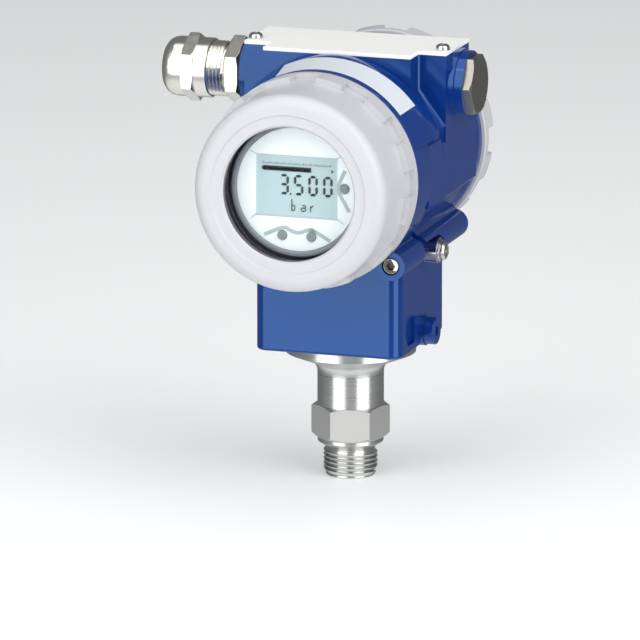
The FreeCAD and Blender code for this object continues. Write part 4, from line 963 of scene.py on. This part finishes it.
        # The face's grooves and creases are drawn as flat grey strips: painted shade.
        piece = prism_piece("face_lines", lines, self.face + 0.01, self.face + 0.04, GROOVE_SHADE_LINE, place)
        shop.hand_over(piece, "display")
        self.ticks(shop)


@dataclass
class Gland:
    """Nickel-plated cable gland with its visible thread."""

    crest: float = 11.0
    root: float = 9.9
    ridge: float = 10.85
    pitch: float = 1.5
    place: Point = (0, 7.0, 158.2)

    def sink_thread(self, shape: bmesh.types.BMesh) -> None:
        """Move the plain thread cylinder in to the thread's root."""
        for vertex in shape.verts:
            y, z = vertex.co.y / MM - self.place[1], vertex.co.z / MM - self.place[2]
            reach = math.hypot(y, z)
            if abs(reach - self.crest) < ON_SURFACE and vertex.co.x / MM < -52:
                vertex.co.y = (self.place[1] + y * self.root / reach) * MM
                vertex.co.z = (self.place[2] + z * self.root / reach) * MM

    def build(self, shop: Workshop) -> None:
        """Dress the gland."""
        shop.rounded("gland_body", NICKEL, 0.25, change=self.sink_thread)
        shop.rounded("gland_dome_nut", NICKEL, 0.35, 3)
        shop.rounded("gland_insert", DARK_PA, 0.2)
        shop.rounded("gland_seal", RUBBER, 0.2)
        Thread("gland_thread_ridge", self.root, self.ridge, 52.4, 65.2, self.pitch, Facing.LEFT,
               self.place, 72).build(shop, NICKEL, "housing", "nickel")


@dataclass
class Internals:
    """Pieces behind the covers."""

    def build(self, shop: Workshop) -> None:
        """Dress the electronics and the terminals."""
        shop.rounded("electronics_module", GREY_PA, 0.4)
        shop.rounded("terminal_block", DARK_PA, 0.3)
        shop.rounded("feedthrough", GREY_PA, 0.2)
        shop.dress("main_board", BOARD)
        for index in (1, 2, 3, 4):
            shop.rounded(f"terminal_screw_{index}", BRIGHT_STEEL, 0.1)


# ---------------------------------------------------------------------------
# Studio
# ---------------------------------------------------------------------------
@dataclass
class Lamp:
    """One soft panel of light, aimed at the middle of the instrument.

    bearing is in degrees to the right of the camera, height and reach are in metres,
    and brightness is the panel's own radiance.
    """

    name: str
    bearing: float
    height: float
    reach: float
    size: Tuple[float, float]
    brightness: float
    colour: str = "#ffffff"

    def build(self, camera_bearing: float) -> None:
        """Hang the panel and turn it to the instrument.

        Args:
            camera_bearing: the camera's angle about Z in degrees.
        """
        data = bpy.data.lights.new(self.name, "AREA")
        data.shape = "RECTANGLE"
        data.size, data.size_y = self.size
        data.energy = self.brightness * math.pi * self.size[0] * self.size[1]
        data.color = linear(self.colour)[:3]
        lamp = bpy.data.objects.new(self.name, data)
        angle = math.radians(camera_bearing + self.bearing)
        lamp.location = (self.reach * math.cos(angle), self.reach * math.sin(angle), self.height)
        look = Vector((0.0, 0.0, 0.11)) - Vector(lamp.location)
        lamp.rotation_euler = look.to_track_quat("-Z", "Y").to_euler()
        lamp.visible_camera = False
        bpy.context.scene.collection.objects.link(lamp)


# Floor of the studio: opal acrylic board lit from below, pale and satin.
FLOOR = Finish("studio_board_pale", "#e9eaea", "#e7e8e8", roughness=0.5, glow=0.29, drift_mm=900,
               grain_mm=3, grain_height_mm=0.0, roughness_spread=0.0)


@dataclass
class Studio:
    """Floor, lamps and camera. Lamp places are a bearing from the camera's own, a height and a reach."""

    floor_level: float = -1.25
    floor_half: float = 6.0
    lens: float = 450.0
    bearing: float = -72.2
    camera_place: Point = (0.9416, -2.9373, 0.7746)
    camera_fall: float = 13.02
    camera_turn: float = 18.0
    air_front: float = 0.45
    air_back: float = 0.22
    air_below: float = 0.8
    lamps: List[Lamp] = field(default_factory=lambda: [
        Lamp("left_softbox", -41.0, 0.55, 1.3, (1.24, 2.4), 1.85),
        Lamp("right_softbox", 44.0, 0.55, 1.3, (1.24, 2.4), 2.2),
        Lamp("top_softbox", 0.0, 1.9, 0.2, (1.9, 1.5), 1.4),
    ])

    def build(self) -> None:
        """Set up the studio."""
        half = self.floor_half
        mesh = bpy.data.meshes.new("studio_floor")
        level = self.floor_level * MM
        mesh.from_pydata([(-half, -half, level), (half, -half, level), (half, half, level),
                          (-half, half, level)], [], [(0, 1, 2, 3)])
        mesh.materials.append(FLOOR.build())
        floor = link("studio_floor", mesh)
        floor.visible_glossy = False
        for lamp in self.lamps:
            lamp.build(self.bearing)
        self.build_air()
        bpy.context.scene.view_settings.view_transform = "Standard"
        data = bpy.data.cameras.new("camera")
        data.lens = self.lens
        data.sensor_width = 36.0
        data.clip_start, data.clip_end = 0.1, 40.0
        camera = bpy.data.objects.new("camera", data)
        camera.location = self.camera_place
        camera.rotation_euler = (math.radians(90 - self.camera_fall), 0.0, math.radians(self.camera_turn))
        bpy.context.scene.collection.objects.link(camera)
        bpy.context.scene.camera = camera

    def build_air(self) -> None:
        """Fill the room with soft light: brighter in front of the instrument and straight below."""
        world = bpy.data.worlds.new("studio_air")
        world.use_nodes = True
        tree = world.node_tree
        tree.nodes.clear()
        way = add_node(tree, "ShaderNodeTexCoord").outputs["Generated"]
        angle = math.radians(self.bearing)
        front = add_node(tree, "ShaderNodeVectorMath", {"operation": "DOT_PRODUCT"}, {
            0: way, 1: (math.cos(angle), math.sin(angle), -0.35)})
        level = add_node(tree, "ShaderNodeMapRange", {"interpolation_type": "SMOOTHSTEP"}, {
            "Value": front.outputs["Value"], "From Min": -0.75, "From Max": 1.0,
            "To Min": self.air_back, "To Max": self.air_front})
        height = add_node(tree, "ShaderNodeSeparateXYZ", None, {"Vector": way})
        below = add_node(tree, "ShaderNodeMapRange", {"interpolation_type": "SMOOTHSTEP"}, {
            "Value": height.outputs["Z"], "From Min": -0.35, "From Max": -0.85,
            "To Min": 0.0, "To Max": self.air_below})
        total = add_node(tree, "ShaderNodeMath", {"operation": "ADD"}, {
            0: level.outputs["Result"], 1: below.outputs["Result"]})
        glow = add_node(tree, "ShaderNodeBackground", None, {
            "Color": linear("#e9ecef"), "Strength": total.outputs["Value"]})
        add_node(tree, "ShaderNodeOutputWorld", None, {"Surface": glow.outputs["Background"]})
        bpy.context.scene.world = world


def main() -> None:
    """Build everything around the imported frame."""
    logging.basicConfig(level=logging.INFO, format="%(name)s: %(message)s")
    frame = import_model()
    shop = Workshop(frame)
    for assembly in (ProcessConnection(), Housing(), Covers(), Display(), Gland(), Internals()):
        LOG.info("building %s", type(assembly).__name__)
        assembly.build(shop)
    Studio().build()
    LOG.info("%d pieces made", shop.made)


if __name__ == "__main__":
    main()
